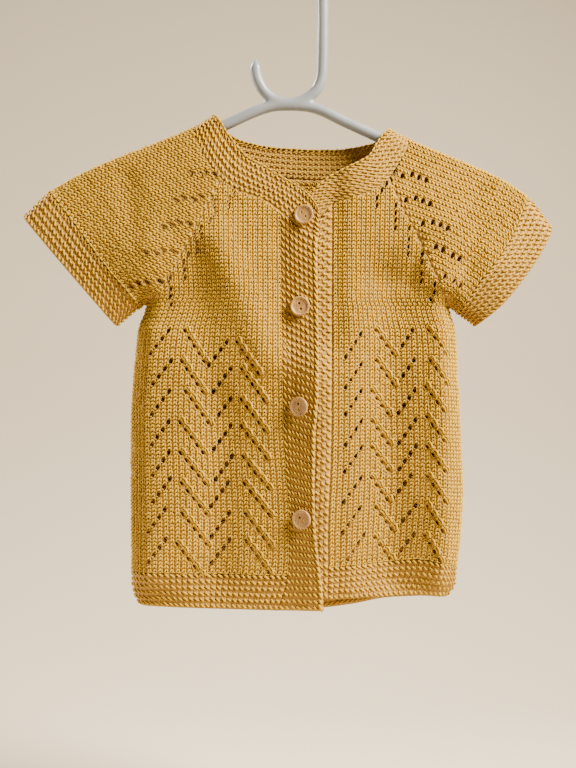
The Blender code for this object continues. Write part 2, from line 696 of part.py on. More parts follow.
def hole_cutter(offset, collection):
    """A small upright cylinder that cuts one sewing hole."""
    bpy.ops.mesh.primitive_cylinder_add(vertices=12, radius=BUTTON_HOLE_R * MM,
                                        depth=4 * BUTTON_H * MM, location=(offset * MM, 0, 0))
    cutter = bpy.context.object
    cutter.hide_render = True
    cutter.display_type = "WIRE"
    for owner in cutter.users_collection:
        owner.objects.unlink(cutter)
    collection.objects.link(cutter)
    return cutter


def button_mesh(cutters):
    """A turned disc with a raised rim, a dished face and two sewing holes. It faces +Z."""
    profile = [
        (0.0, BUTTON_H - BUTTON_DISH),
        (BUTTON_R - BUTTON_RIM - 0.5, BUTTON_H - BUTTON_DISH),
        (BUTTON_R - BUTTON_RIM, BUTTON_H - 0.15),
        (BUTTON_R - 0.55, BUTTON_H),
        (BUTTON_R, BUTTON_H - 0.6),
        (BUTTON_R - 0.1, BUTTON_H * 0.35),
        (BUTTON_R - 1.3, 0.0),
        (0.0, 0.0),
    ]
    mesh = bpy.data.meshes.new("button_profile")
    mesh.from_pydata([(r * MM, 0.0, z * MM) for r, z in profile],
                     [(k, k + 1) for k in range(len(profile) - 1)], [])
    turned = bpy.data.objects.new("button_turned", mesh)
    bpy.context.scene.collection.objects.link(turned)
    screw = turned.modifiers.new("Turn", "SCREW")
    screw.steps = screw.render_steps = 24
    screw.use_merge_vertices = True
    screw.merge_threshold = 0.00001
    for offset in (-BUTTON_HOLE_PITCH / 2, BUTTON_HOLE_PITCH / 2):
        cut = turned.modifiers.new("Hole", "BOOLEAN")
        cut.object = hole_cutter(offset, cutters)
        cut.operation = "DIFFERENCE"
    bpy.context.view_layer.update()
    seen = turned.evaluated_get(bpy.context.evaluated_depsgraph_get())
    finished = bpy.data.meshes.new_from_object(seen)
    bpy.data.objects.remove(turned)
    return finished


def build_buttons(material, collection, cutters):
    """Four buttons seated on the buttonhole band, each turned a little as its hole pulls it."""
    for number, row in enumerate(BUTTONS, 1):
        mesh = button_mesh(cutters)
        piece = link_piece(f"button_{number}", mesh, material, collection)
        normal = front_normal(row.x, row.z)
        face = normal.to_track_quat("Z", "Y").to_matrix().to_4x4()
        turn = Matrix.Rotation(radians(row.turn_deg), 4, "Z")
        spin = Matrix.Rotation(radians(row.spin_deg), 4, "Z")
        lift = BUTTON_SEAT + (BUTTON_R - 1.3) * abs(sin(radians(row.turn_deg)))
        seat = Vector(on_front(np.array([row.x, row.z]))) + normal * lift
        piece.matrix_world = Matrix.Translation(seat * MM) @ turn @ face @ spin


def rounded_ends(line, radius):
    """A centre line with its share of the tube's radius at each point, closing in a dome at both ends."""
    rows = [(*point, 1.0) for point in line]
    for end, before in ((0, 1), (-1, -2)):
        tip = np.array(line[end])
        out = unit(tip - np.array(line[before]))
        dome = [(*(tip + out * radius * sin(radians(a))), cos(radians(a))) for a in (30, 55, 75)]
        rows = dome[::-1] + rows if end == 0 else rows + dome
    return rows


def tube(rows, radius, name):
    """A round tube along rows of x, z and share of radius, as a closed mesh."""
    curve = bpy.data.curves.new(name, "CURVE")
    curve.dimensions = "3D"
    curve.bevel_depth = radius * MM
    curve.bevel_resolution = 2
    curve.use_fill_caps = True
    spline = curve.splines.new("POLY")
    spline.points.add(len(rows) - 1)
    for target, (x, z, share) in zip(spline.points, rows):
        target.co = (x * MM, 0.0, z * MM, 1.0)
        target.radius = share
    bent = bpy.data.objects.new(name + "_curve", curve)
    bpy.context.scene.collection.objects.link(bent)
    bpy.context.view_layer.update()
    seen = bent.evaluated_get(bpy.context.evaluated_depsgraph_get())
    mesh = bpy.data.meshes.new_from_object(seen)
    bm = bmesh.new()
    bm.from_mesh(mesh)
    bmesh.ops.remove_doubles(bm, verts=bm.verts, dist=0.00001)
    bmesh.ops.recalc_face_normals(bm, faces=bm.faces)
    bm.to_mesh(mesh)
    bm.free()
    mesh.shade_smooth()
    bpy.data.objects.remove(bent)
    return mesh


def build_hanger(material, collection, cutters):
    """The moulded hanger: its hook runs down into a swan neck, and the arms are fused under it."""
    turn = np.linspace(pi, 0.0, 15)
    hook_line = [(HOOK_R * cos(a), TUBE_R - HOOK_R + HOOK_R * sin(a)) for a in turn]
    hook_line += [tuple(point) for point in smooth_curve(HOOK_STEM, 3)]
    rows = rounded_ends(hook_line, TUBE_R)
    tip_x, tip_z = hook_line[-1]
    rows[-1] = (tip_x, tip_z + NUB_NECK_RISE, NUB_NECK_SHARE)
    rows += [(tip_x, tip_z + NUB_NECK_RISE + rise, share) for rise, share in NUB]
    arms_line = [tuple(point) for point in smooth_curve(ARMS, 2)]
    piece = link_piece("hanger", tube(rows, TUBE_R, "hook"), material, collection)
    arms = bpy.data.objects.new("arms", tube(rounded_ends(arms_line, TUBE_R), TUBE_R, "arms"))
    arms.hide_render = True
    arms.display_type = "WIRE"
    cutters.objects.link(arms)
    join = piece.modifiers.new("Fuse", "BOOLEAN")
    join.operation = "UNION"
    join.object = arms
    return piece


def main():
    """Clears the scene and builds every piece."""
    for old in list(bpy.data.objects):
        bpy.data.objects.remove(old)
    parts = bpy.data.collections.new("knitted_vest")
    cutters = bpy.data.collections.new("cutters")
    for collection in (parts, cutters):
        bpy.context.scene.collection.children.link(collection)

    yarn = make_material("yarn", (0.60, 0.38, 0.13), 0.85)
    wood = make_material("wood", (0.68, 0.46, 0.25), 0.55)
    grey = make_material("hanger_plastic", (0.62, 0.64, 0.66), 0.35)

    build_back(yarn, parts)
    build_right_front(yarn, parts)
    build_left_front(yarn, parts)
    build_neckband(yarn, parts)
    upper_end = moved_over(neck_outer(NECK_LEFT, 5), -SEAM_GAP)
    under_end = moved_over(neck_outer(NECK_RIGHT, 5), SEAM_GAP)[::-1]
    band_between("buttonhole_band", BUTTONHOLE_LEFT, BUTTONHOLE_RIGHT, upper_end, on_front, yarn, parts)
    band_between("button_band", BUTTON_BAND_LEFT, BUTTON_BAND_RIGHT, under_end,
                 lambda xz: on_front(xz, lap_drop), yarn, parts)
    build_sleeve("right_sleeve", NECK_LEFT, LEFT_RAGLAN, LEFT_BACK_RAGLAN, LEFT_CUFF_SEAM,
                 LEFT_CUFF_EDGE, -1, yarn, parts)
    build_sleeve("left_sleeve", NECK_RIGHT, RIGHT_RAGLAN, RIGHT_BACK_RAGLAN, RIGHT_CUFF_SEAM,
                 RIGHT_CUFF_EDGE, 1, yarn, parts)
    build_cuff("right_cuff", NECK_LEFT, LEFT_SIDE, LEFT_CUFF_SEAM, LEFT_CUFF_EDGE, -1, yarn, parts)
    build_cuff("left_cuff", NECK_RIGHT, RIGHT_SIDE, RIGHT_CUFF_SEAM, RIGHT_CUFF_EDGE, 1, yarn, parts)
    hole_band = moved_over(smooth_curve(BUTTONHOLE_LEFT), -SEAM_GAP)
    under_band = moved_over(smooth_curve(BUTTON_BAND_RIGHT), SEAM_GAP)
    hem_band("right_front_hem", LEFT_HEM_TOP, LEFT_HEM_EDGE, on_front, 12, yarn, parts,
             "left", hole_band)
    hem_band("left_front_hem", RIGHT_HEM_TOP, RIGHT_HEM_EDGE,
             lambda xz: on_front(xz, lap_drop), 12, yarn, parts, "right", under_band)
    hem_band("back_hem", BACK_HEM_TOP, BACK_HEM_EDGE, on_back, 22, yarn, parts)
    build_buttons(wood, parts, cutters)
    build_hanger(grey, parts, cutters)


main()
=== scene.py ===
"""A knitted baby vest with short raglan sleeves, buttoned down the front, hanging on a moulded hanger.

Each knitted piece is a chart, laid flat and counted in stitches and rows. Its stitches are set one
by one and then blocked onto the garment's form, which is a front outline with a half depth at each
place. Lengths are millimetres until a mesh is made. X runs to the viewer's right, Y away and Z up.
"""
import json
import logging
from collections.abc import Iterable, Sequence
from dataclasses import dataclass, field, replace
from enum import Enum
from math import cos, pi, radians, sin
from typing import NamedTuple

import bmesh
import bpy
import numpy as np
from bpy.types import ID, Material, Mesh, Node, NodeSocket, NodeTree, NodesModifier, Object
from mathutils import Matrix, Vector

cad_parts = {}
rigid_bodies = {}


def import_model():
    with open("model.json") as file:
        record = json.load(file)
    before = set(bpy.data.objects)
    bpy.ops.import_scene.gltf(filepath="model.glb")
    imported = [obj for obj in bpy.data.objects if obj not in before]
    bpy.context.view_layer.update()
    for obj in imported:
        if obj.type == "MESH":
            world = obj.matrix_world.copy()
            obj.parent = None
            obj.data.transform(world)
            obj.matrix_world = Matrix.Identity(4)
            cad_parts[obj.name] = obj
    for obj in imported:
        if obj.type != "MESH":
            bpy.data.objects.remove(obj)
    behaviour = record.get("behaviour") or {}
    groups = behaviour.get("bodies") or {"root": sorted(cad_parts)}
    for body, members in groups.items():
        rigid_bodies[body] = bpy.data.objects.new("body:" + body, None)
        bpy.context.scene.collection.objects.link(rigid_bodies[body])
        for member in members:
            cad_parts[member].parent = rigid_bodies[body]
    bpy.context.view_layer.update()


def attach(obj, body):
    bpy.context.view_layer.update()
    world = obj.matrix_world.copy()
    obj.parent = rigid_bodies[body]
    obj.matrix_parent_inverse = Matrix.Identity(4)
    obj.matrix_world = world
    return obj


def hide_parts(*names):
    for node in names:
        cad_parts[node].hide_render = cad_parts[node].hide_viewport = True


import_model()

Array = np.ndarray
Line = Sequence[tuple[float, float]]
Point = tuple[float, float, float]
Colour = tuple[float, float, float, float]

MM = 0.001
SUB = 2                # places on the garment for each stitch and each row of a chart
STITCH = 4.0           # width of a stitch
ROW = 2.69             # height of a row
RIDGE = 4.05           # height of a garter ridge in the bands round hem and cuffs
BAND_STITCH = 3.1      # width of a stitch in the front bands
BAND_RIDGE = 4.9       # height of a garter ridge in the front bands
LOOP_SINK = 0.5        # how far the middle of a strand lies under the cloth's outer face
GROUND_SINK = 0.80     # from the cloth's outer face down to the ground cloth between the strands
GROUND_WALL = 0.85     # thickness of the ground cloth
CLOTH_WALL = 2.2       # thickness of the whole cloth with its strands
WELD = 0.04            # points of the ground cloth that lie closer than this are one point
CURVE_STEPS = 6        # points for each span of a curve through a table's rows
ROW_SAMPLES = 110      # places along a row before stitches are set on it

# The hole in the ground cloth, in columns and rows from its middle, the columns that it leans for each
# row of its height, and how far it pushes columns and rows apart, by its drift.
EYELET_RIM = (
    (-0.24, -0.12), (-0.14, -0.42), (0.14, -0.42), (0.24, -0.12), (0.24, 0.12), (0.14, 0.42),
    (-0.14, 0.42), (-0.24, 0.12),
)
EYELET_SLANT = 0.40
LACE_OPENING = {-1: (0.45, 1.15), 1: (0.1, 0.5)}

# How much the stitches beside a hole lean, and how many columns and rows away that fades.
BESIDE_LEAN = radians(9.0)
BESIDE_REACH = (1.8, 1.2)

# How far the stitches between two slits sink, where that is deepest from a slit's middle, and how many
# columns and rows away it fades.
SLIT_DEPTH = 0.55
SLIT_MIDDLE = (0.3, -1.0)
SLIT_REACH = (0.7, 0.6)

log = logging.getLogger("vest")


class BandRow(NamedTuple):
    """The neckband's two edges at one place, in the front view."""

    inner_x: float
    inner_z: float
    outer_x: float
    outer_z: float


class Fold(NamedTuple):
    """A soft ridge or trough, from its top to its end. A positive rise stands outwards."""

    x_top: float
    z_top: float
    x_end: float
    z_end: float
    width: float
    rise: float


class LaceColumn(NamedTuple):
    """A stack of slanting rows of eyelets: the highest row's top and the lowest row's top.

    drift is 1 where the eyelets run down to the viewer's right and -1 where they run to the left.
    """

    x_first: float
    z_first: float
    x_last: float
    z_last: float
    drift: int
    eyelets: int


class EyeletRow(NamedTuple):
    """A short row of eyelets beside a raglan line, from its first hole to its last."""

    x_first: float
    z_first: float
    x_last: float
    z_last: float
    holes: int


class ButtonRow(NamedTuple):
    """A button's place, how far it is turned to the side and how its holes lie."""

    x: float
    z: float
    turn: float
    spin: float


class Layer(Enum):
    """Which layer of the garment a place is on."""

    FRONT = "front"
    UNDER = "under"
    BACK = "back"


class Side(Enum):
    """The face of the cloth on which stitches are set."""

    OUTER = 1
    INNER = -1


class Kind(Enum):
    """The strands that one stitch shows."""

    KNIT = 0
    GARTER = 1
    CORD = 2
    CHAIN = 3
    OPEN = 4
    SLIT = 5
    ROPE = 6
    PLAIN = 7


# Half depth of the front at each height, as height and depth.
DEPTHS: Line = (
    (-100, 9), (-130, 13), (-165, 17), (-210, 21),
    (-280, 24), (-360, 22), (-430, 20), (-462, 18.5),
)

# Closed edges, from underarm to hem. Names say the viewer's side.
LEFT_SIDE: Line = (
    (-106.6, -239.5), (-109, -247), (-112.6, -256), (-114.6, -272), (-116.6, -294),
    (-118.1, -318), (-118.3, -366), (-117.9, -423), (-117, -443.5), (-112.3, -455),
)
RIGHT_SIDE: Line = (
    (110.6, -241.5), (112.8, -250), (115.6, -259), (117.4, -294), (119.5, -337),
    (121, -374), (119.5, -402), (116.8, -428), (115.2, -441.5), (109.4, -449.5),
)

# Raglan lines from neck to underarm.
LEFT_RAGLAN: Line = (
    (-52.6, -151.2), (-65.5, -175), (-75.6, -195), (-85.7, -214), (-96, -231),
    (-106.6, -239.5),
)
RIGHT_RAGLAN: Line = (
    (67, -149.8), (74.2, -167.8), (83.5, -185.8), (92.9, -205.2), (102.2, -225.4),
    (110.6, -241.5),
)
LEFT_BACK_RAGLAN: Line = (
    (-58, -136), (-70, -163), (-84, -195), (-97, -226), (-106.6, -239.5),
)
RIGHT_BACK_RAGLAN: Line = (
    (67, -138.5), (78, -164), (91, -195), (102.5, -226), (110.6, -241.5),
)

# Cuff seams and open cuff edges, from the top fold to the lower fold.
LEFT_CUFF_SEAM: Line = (
    (-175.7, -157.7), (-153.4, -186.5), (-133.2, -213.8), (-116, -234), (-110.8, -241.8),
)
LEFT_CUFF_EDGE: Line = (
    (-195.8, -176.4), (-178.6, -196.6), (-162, -216), (-144.7, -236.2), (-128.2, -255.6),
)
RIGHT_CUFF_SEAM: Line = (
    (166.5, -161), (157, -184.3), (147, -202), (131.5, -222), (116.6, -246),
)
RIGHT_CUFF_EDGE: Line = (
    (185.8, -184.3), (175, -204.5), (162, -223.2), (147.6, -240.5), (129.6, -255.6),
)

# Neckband, from the shoulder folds to the front ends and across the back.
NECK_LEFT = tuple(BandRow(*row) for row in (
    (-58.3, -103, -72.7, -111.6), (-53.6, -108.4, -69.4, -124), (-47.5, -118.8, -63.4, -136.1),
    (-35.3, -133.9, -52.6, -151.2), (-20.9, -142.6, -38.2, -159.8), (-5.8, -151.9, -23.8, -164.9),
    (5, -158.4, -10.4, -174), (13, -166.3, 2.6, -185), (16.8, -173.5, 16.8, -192.6),
))
NECK_RIGHT = tuple(BandRow(*row) for row in (
    (68.4, -113, 82.1, -120.2), (64.6, -116.5, 79.6, -130), (60, -121.7, 75.4, -138),
    (52.6, -133.9, 67, -149.8), (38.2, -141.8, 54, -159.1), (23, -149.8, 38.2, -164.9),
    (13, -158.4, 25.9, -169), (3.6, -166.3, 11.5, -184.3), (-2.9, -174.2, -2.9, -193),
))
NECK_BACK = tuple(BandRow(*row) for row in (
    (-58.3, -103, -72.7, -111.6), (-53.6, -109.4, -69.4, -121), (-44, -118, -58, -136),
    (-23, -123.8, -28, -144.5), (0, -126, 0, -147.6), (21.6, -126.7, 21.6, -148.3),
    (38.2, -126, 44, -146.9), (58.3, -121.7, 67, -138.5), (64.6, -117, 79, -128),
    (68.4, -113, 82.1, -120.2),
))

# Front bands, from the neckband to the hem edge.
BUTTONHOLE_LEFT: Line = (
    (-10.1, -174.6), (-10.1, -207.4), (-8.6, -308), (-7.9, -337), (-4.6, -386.6),
    (-5.4, -431), (-12.5, -457),
)
BUTTONHOLE_RIGHT: Line = (
    (16.6, -193.2), (15.8, -207.4), (16.6, -294), (13.9, -337), (13.9, -394.6),
    (18.7, -436.3), (20.2, -456.5),
)
BUTTON_BAND_LEFT: Line = ((-2.9, -193.6), (-2.9, -300), (-4, -400), (-2, -449.5))
BUTTON_BAND_RIGHT: Line = (
    (26.4, -169.6), (26, -237), (25.6, -337), (23.4, -395), (23.4, -449),
)

# Where the panels meet the hem bands, and the hem's own edge.
LEFT_HEM_TOP: Line = ((-118, -429.8), (-61.9, -430.6), (-5, -431.3))
RIGHT_HEM_TOP: Line = ((23.4, -425.5), (60, -423), (90, -420.8), (117.5, -427))
BACK_HEM_TOP: Line = ((-118, -430), (0, -431.5), (117.5, -427))
LEFT_HEM_EDGE: Line = ((-112.3, -455), (-61.9, -455.6), (-12.5, -457))
RIGHT_HEM_EDGE: Line = ((23.4, -449), (60, -447.9), (90, -447.4), (109.4, -449.5))
BACK_HEM_EDGE: Line = (
    (-112.3, -455), (-61.9, -457.2), (-7.9, -459.2), (18, -460.1), (43.2, -457),
    (67.7, -452.4), (109.4, -449.5),
)

FRONT_FOLDS = tuple(Fold(*row) for row in (
    (-54, -196, -18, -280, 13, 4.4), (-72, -208, -59, -300, 14, -3.4),
    (-52, -322, -56, -430, 19, -5.4), (-108, -205, -106, -430, 16, 5),
    (-10, -190, -8, -262, 7, -1.4), (17, -292, 18, -452, 18, 7),
    (67, -225, 69, -435, 19, -9), (107, -228, 108, -430, 12, 7.6),
    (88, -196, 82, -225, 6, -2), (-120, -150, -112, -205, 9, -2.2),
    (132, -160, 122, -215, 9, -2.2),
))
BACK_FOLDS = tuple(Fold(*row) for row in (
    (-62, -165, -74, -275, 11, -2.4), (70, -170, 80, -280, 11, -2.4),
    (4, -175, -6, -330, 16, -1.8), (-48, -300, -52, -420, 13, 2),
    (46, -310, 50, -425, 14, 1.8), (-124, -158, -116, -210, 9, -1.6),
    (130, -165, 124, -215, 9, -1.6),
))

# The lace of the two fronts: eight rows of eyelets in each column.
LACE_REPEATS = 8
LEFT_LACE = tuple(LaceColumn(*row) for row in (
    (-89.5, -259.5, -92.5, -408.5, -1, 4), (-79, -260.5, -83.5, -409.5, 1, 5),
    (-49, -266.5, -46.5, -409.5, -1, 4), (-40.5, -267.5, -36, -409, 1, 5),
))
RIGHT_LACE = tuple(LaceColumn(*row) for row in (
    (46.8, -262, 46, -405, -1, 4), (55, -260.5, 54.5, -405.5, 1, 4),
    (84, -259.5, 82, -405, -1, 4), (93, -258.8, 91.5, -404.5, 1, 4),
))

# Increases beside the raglan lines, on the body and on the sleeves.
LEFT_BODY_EYELETS = tuple(EyeletRow(*row) for row in (
    (-43.2, -157.7, -48.2, -170.6, 4), (-56.9, -168.5, -59.8, -181.4, 4),
    (-67.7, -187.2, -70.6, -203, 4), (-77.8, -206, -80.6, -221.8, 4),
    (-89.3, -223.2, -90.7, -241.2, 4),
))
RIGHT_BODY_EYELETS = tuple(EyeletRow(*row) for row in (
    (62.6, -155.5, 55.4, -171.4, 4), (71.3, -171.4, 68.4, -187.9, 4),
    (81.4, -188, 77.8, -205.9, 4), (90, -204.5, 87.8, -224.6, 4),
    (97.9, -227.5, 96.5, -236.9, 3),
))
LEFT_SLEEVE_EYELETS = tuple(EyeletRow(*row) for row in (
    (-59, -146, -74.2, -147, 4), (-68.4, -163.5, -85.7, -165, 4),
    (-77.8, -181.5, -95.8, -184, 4), (-87.8, -201, -107.3, -204.5, 4),
    (-98, -222.5, -118, -227, 4),
))
RIGHT_SLEEVE_EYELETS = tuple(EyeletRow(*row) for row in (
    (72, -147.6, 95, -151.2, 5), (79.2, -165.6, 96.5, -169.2, 4),
    (90, -182.9, 107.3, -186.5, 4), (98.6, -201.6, 117.4, -209.5, 4),
    (106.6, -222.5, 118.1, -229, 3),
))

BUTTONS = tuple(ButtonRow(*row) for row in (
    (6.5, -177.1, -12, -45), (3.6, -241.9, -6, -71),
    (3.6, -312.5, -9, -81), (5.2, -391.7, -4, -49),
))


def ease(t: Array) -> Array:
    """Smooth step from 0 to 1."""
    t = np.clip(t, 0.0, 1.0)
    return t * t * (3.0 - 2.0 * t)


def unit(vectors: Array) -> Array:
    """The same directions with length 1."""
    return vectors / np.maximum(np.linalg.norm(vectors, axis=-1, keepdims=True), 1e-9)


def smooth_curve(rows: Line, per_span: int = CURVE_STEPS) -> Array:
    """A smooth curve through a table's rows.

    Args:
        rows: the table's x and z.
        per_span: how many points each span gets.

    Returns:
        The curve's points.
    """
    p = np.array(rows, dtype=float)
    ends = np.vstack([2 * p[0] - p[1], p, 2 * p[-1] - p[-2]])
    t = np.linspace(0.0, 1.0, per_span, endpoint=False)[:, None]
    out = []
    for k in range(len(p) - 1):
        a, b, c, d = ends[k:k + 4]
        out.append(0.5 * (2 * b + (c - a) * t + (2 * a - 5 * b + 4 * c - d) * t ** 2
                          + (3 * b - a - 3 * c + d) * t ** 3))
    return np.vstack(out + [p[-1:]])


def along(points: Array, fractions: Array) -> Array:
    """The line's points at given fractions of its length."""
    arc = np.concatenate([[0.0], np.cumsum(np.linalg.norm(np.diff(points, axis=0), axis=1))])
    return np.stack([np.interp(np.asarray(fractions) * arc[-1], arc, c) for c in points.T], axis=-1)


def lengths(rows: Array) -> Array:
    """The length of each row of places."""
    return np.linalg.norm(np.diff(rows, axis=-2), axis=-1).sum(axis=-1)


def x_at(points: Array, z: Array) -> Array:
    """X of a line that runs downwards, at each height."""
    order = np.argsort(points[:, 1])
    return np.interp(z, points[order, 1], points[order, 0])


def z_at(points: Array, x: Array) -> Array:
    """Z of a line that runs across, at each x."""
    order = np.argsort(points[:, 0])
    return np.interp(x, points[order, 0], points[order, 1])


def hermite(start: Array, end: Array, start_run: Array, end_run: Array, t: float) -> Array:
    """A smooth span between two places with a given run at each."""
    return (start * (2 * t ** 3 - 3 * t ** 2 + 1) + start_run * (t ** 3 - 2 * t ** 2 + t)
            + end * (3 * t ** 2 - 2 * t ** 3) + end_run * (t ** 3 - t ** 2))


def along_sleeve(start: Array, seam: Array, edge: Array, t: float) -> Array:
    """A place on the sleeve or cuff, smooth across the seam between them.

    Args:
        start: the sleeve's inner end.
        seam: where the cuff begins.
        edge: the cuff's open edge.
        t: 0 to 1 on the sleeve and 1 to 2 on the cuff.

    Returns:
        The place, or one for each row of start, seam and edge.
    """
    first, second = seam - start, edge - seam
    shared = unit(unit(first) + unit(second))
    if t <= 1.0:
        length = np.linalg.norm(first, axis=-1, keepdims=True)
        return hermite(start, seam, first, shared * length, t)
    length = np.linalg.norm(second, axis=-1, keepdims=True)
    return hermite(seam, edge, shared * length, second, t - 1.0)


def neck_edge(rows: Sequence[BandRow], outer: bool, first: int = 0, last: int | None = None) -> Array:
    """One edge of the neckband as a smooth curve, or its stretch between two of the table's rows.

    Args:
        rows: the neckband's table.
        outer: whether it is the outer edge.
        first: the stretch's first row in the table.
        last: its last row, or None for the table's last.

    Returns:
        The edge's points.
    """
    last = len(rows) - 1 if last is None else last
    pairs = [(r.outer_x, r.outer_z) if outer else (r.inner_x, r.inner_z) for r in rows]
    return smooth_curve(pairs)[first * CURVE_STEPS:last * CURVE_STEPS + 1]


@dataclass(frozen=True)
class Form:
    """The garment's form: how far the cloth's outer face stands from the middle plane."""

    fold_radius: float = 7.2
    swell_reach: float = 55.0
    sleeve_flattening: float = 0.35
    sleeve_from_x: float = 95.0
    sleeve_reach: float = 70.0
    back_flatness: float = 0.92
    lap_drop: float = 3.1
    lap_from_x: float = 27.0
    lap_reach: float = 14.0
    half_gap: float = 0.25
    edges: tuple[Array, ...] = field(default=())

    @classmethod
    def of_vest(cls) -> "Form":
        """The form with its folded edges worked out: the shoulders, the underarms and the sides.

        Returns:
            The form.
        """
        steps = np.linspace(0.0, 2.0, 25)
        lines = []
        for neck, seam, edge, side in (
            (NECK_LEFT, LEFT_CUFF_SEAM, LEFT_CUFF_EDGE, LEFT_SIDE),
            (NECK_RIGHT, RIGHT_CUFF_SEAM, RIGHT_CUFF_EDGE, RIGHT_SIDE),
        ):
            corner = np.array([neck[0].outer_x, neck[0].outer_z])
            high = [along_sleeve(corner, np.array(seam[0]), np.array(edge[0]), t) for t in steps]
            low = [along_sleeve(np.array(side[0]), np.array(seam[-1]), np.array(edge[-1]), t) for t in steps]
            beyond = high[-1] + 10.0 * unit(high[-1] - high[-2])
            below = low[-1] + 10.0 * unit(low[-1] - low[-2])
            lines.append(np.vstack([[neck[0].inner_x, neck[0].inner_z], *high, beyond]))
            lines.append(np.vstack([below, *low[::-1], smooth_curve(side)[1:]]))
        return cls(edges=tuple(lines))

    def edge_distance(self, xz: Array) -> Array:
        """Distance in the front view from each place to the nearest folded edge.

        Args:
            xz: places in the front view.

        Returns:
            A distance for each place.
        """
        best = np.full(xz.shape[:-1], 1e9)
        for line in self.edges:
            for a, b in zip(line[:-1], line[1:]):
                run = b - a
                t = np.clip(((xz - a) @ run) / (run @ run), 0.0, 1.0)
                best = np.minimum(best, np.linalg.norm(xz - a - t[..., None] * run, axis=-1))
        return best

    @staticmethod
    def fold_rise(xz: Array, folds: Iterable[Fold]) -> Array:
        """Sum of the soft ridges and troughs at each place.

        Args:
            xz: places in the front view.
            folds: the ridges and troughs.

        Returns:
            The rise at each place.
        """
        total = np.zeros(xz.shape[:-1])
        for fold in folds:
            a = np.array([fold.x_top, fold.z_top])
            run = np.array([fold.x_end, fold.z_end]) - a
            t = np.clip(((xz - a) @ run) / (run @ run), 0.0, 1.0)
            off = np.linalg.norm(xz - a - t[..., None] * run, axis=-1)
            total += fold.rise * np.exp(-(off / fold.width) ** 2)
        return total

    def half_depth(self, xz: Array, layer: Layer) -> Array:
        """How far the outer face stands from the middle plane at each place.

        Args:
            xz: places in the front view.
            layer: the layer they lie on.

        Returns:
            A depth for each place.
        """
        back = layer is Layer.BACK
        edge = self.edge_distance(xz)
        levels = np.array(DEPTHS)[::-1]
        full = np.interp(xz[..., 1], levels[:, 0], levels[:, 1])
        out = ease((np.abs(xz[..., 0]) - self.sleeve_from_x) / self.sleeve_reach)
        full = full * (1.0 - self.sleeve_flattening * out) * (self.back_flatness if back else 1.0)
        near = np.clip(edge / self.fold_radius, 0.0, 1.0)
        rounding = self.fold_radius * np.sqrt(1.0 - (1.0 - near) ** 2)
        swell = np.sin(0.5 * pi * np.clip(edge / self.swell_reach, 0.0, 1.0))
        folds = self.fold_rise(xz, BACK_FOLDS if back else FRONT_FOLDS)
        spare = np.maximum(full - self.fold_radius, 0.0)
        return rounding + spare * swell + folds * ease(edge / (2.0 * self.fold_radius))

    def place(self, xz: Array, layer: Layer) -> Array:
        """Front-view places put on one layer of the garment.

        Args:
            xz: places in the front view.
            layer: the layer they lie on. The under layer sinks beneath the buttonhole band.

        Returns:
            The places with their depth.
        """
        depth = self.half_depth(xz, layer) + self.half_gap
        if layer is Layer.UNDER:
            depth = depth - self.lap_drop * (1.0 - ease((xz[..., 0] - self.lap_from_x) / self.lap_reach))
        return np.stack([xz[..., 0], depth if layer is Layer.BACK else -depth, xz[..., 1]], axis=-1)


def spread(rows: Array, count: int, reach: Array | None = None, lead: Array | None = None) -> Array:
    """Places at even distances along each row.

    Args:
        rows: closely spaced places, a row for each height.
        count: how many steps each row gets.
        reach: the length to cover in each row, or None for all of it.
        lead: how far before each row's start the first step lies, or None for nowhere before it.

    Returns:
        The rows with count + 1 places each.
    """
    steps = np.linalg.norm(np.diff(rows, axis=1), axis=2)
    arc = np.concatenate([np.zeros((len(rows), 1)), np.cumsum(steps, axis=1)], axis=1)
    totals = arc[:, -1] if reach is None else reach
    leads = np.zeros(len(rows)) if lead is None else lead
    out = np.empty((len(rows), count + 1, 3))
    for k, total in enumerate(totals):
        where = np.linspace(-leads[k], total, count + 1)
        for axis in range(3):
            out[k, :, axis] = np.interp(where, arc[k], rows[k, :, axis])
    return out


def carried_up(rows: Array, underarm: float, ends: int) -> tuple[Array, Array]:
    """The reach of each row, so that columns run on where the side fold ends at the underarm.

    Args:
        rows: closely spaced places, lowest row first.
        underarm: the underarm's height.
        ends: how many ends of a row have a side fold.

    Returns:
        Each row's reach, and what it lacks at one end.
    """
    reach = lengths(rows)
    above = int(np.argmax(rows[:, -1, 2] > underarm))
    lack = np.zeros(len(rows))
    lack[above:] = (reach[above - 1] - reach[above]) / ends
    return reach + lack, lack


def crossing(values: Array) -> Array:
    """Where each row of values first turns from negative to positive, in stitches, or its end.

    Args:
        values: the rows of values, SUB for each stitch.

    Returns:
        A count of stitches for each row.
    """
    out = np.full(len(values), (values.shape[1] - 1) / SUB)
    for k, row in enumerate(values):
        hits = np.nonzero((row[:-1] < 0) & (row[1:] >= 0))[0]
        if row[0] >= 0:
            out[k] = 0.0
        elif len(hits):
            i = hits[0]
            out[k] = (i + row[i] / (row[i] - row[i + 1])) / SUB
    return out


# Where a raised decrease starts beside its hole, in columns and rows, and how far inside the chart's
# edges, in columns and rows, the middle of a stitch has to lie.
CORD_OFFSET = (0.78, 0.55)
SIDE_MARGIN = 0.30
TOP_MARGIN = 0.25


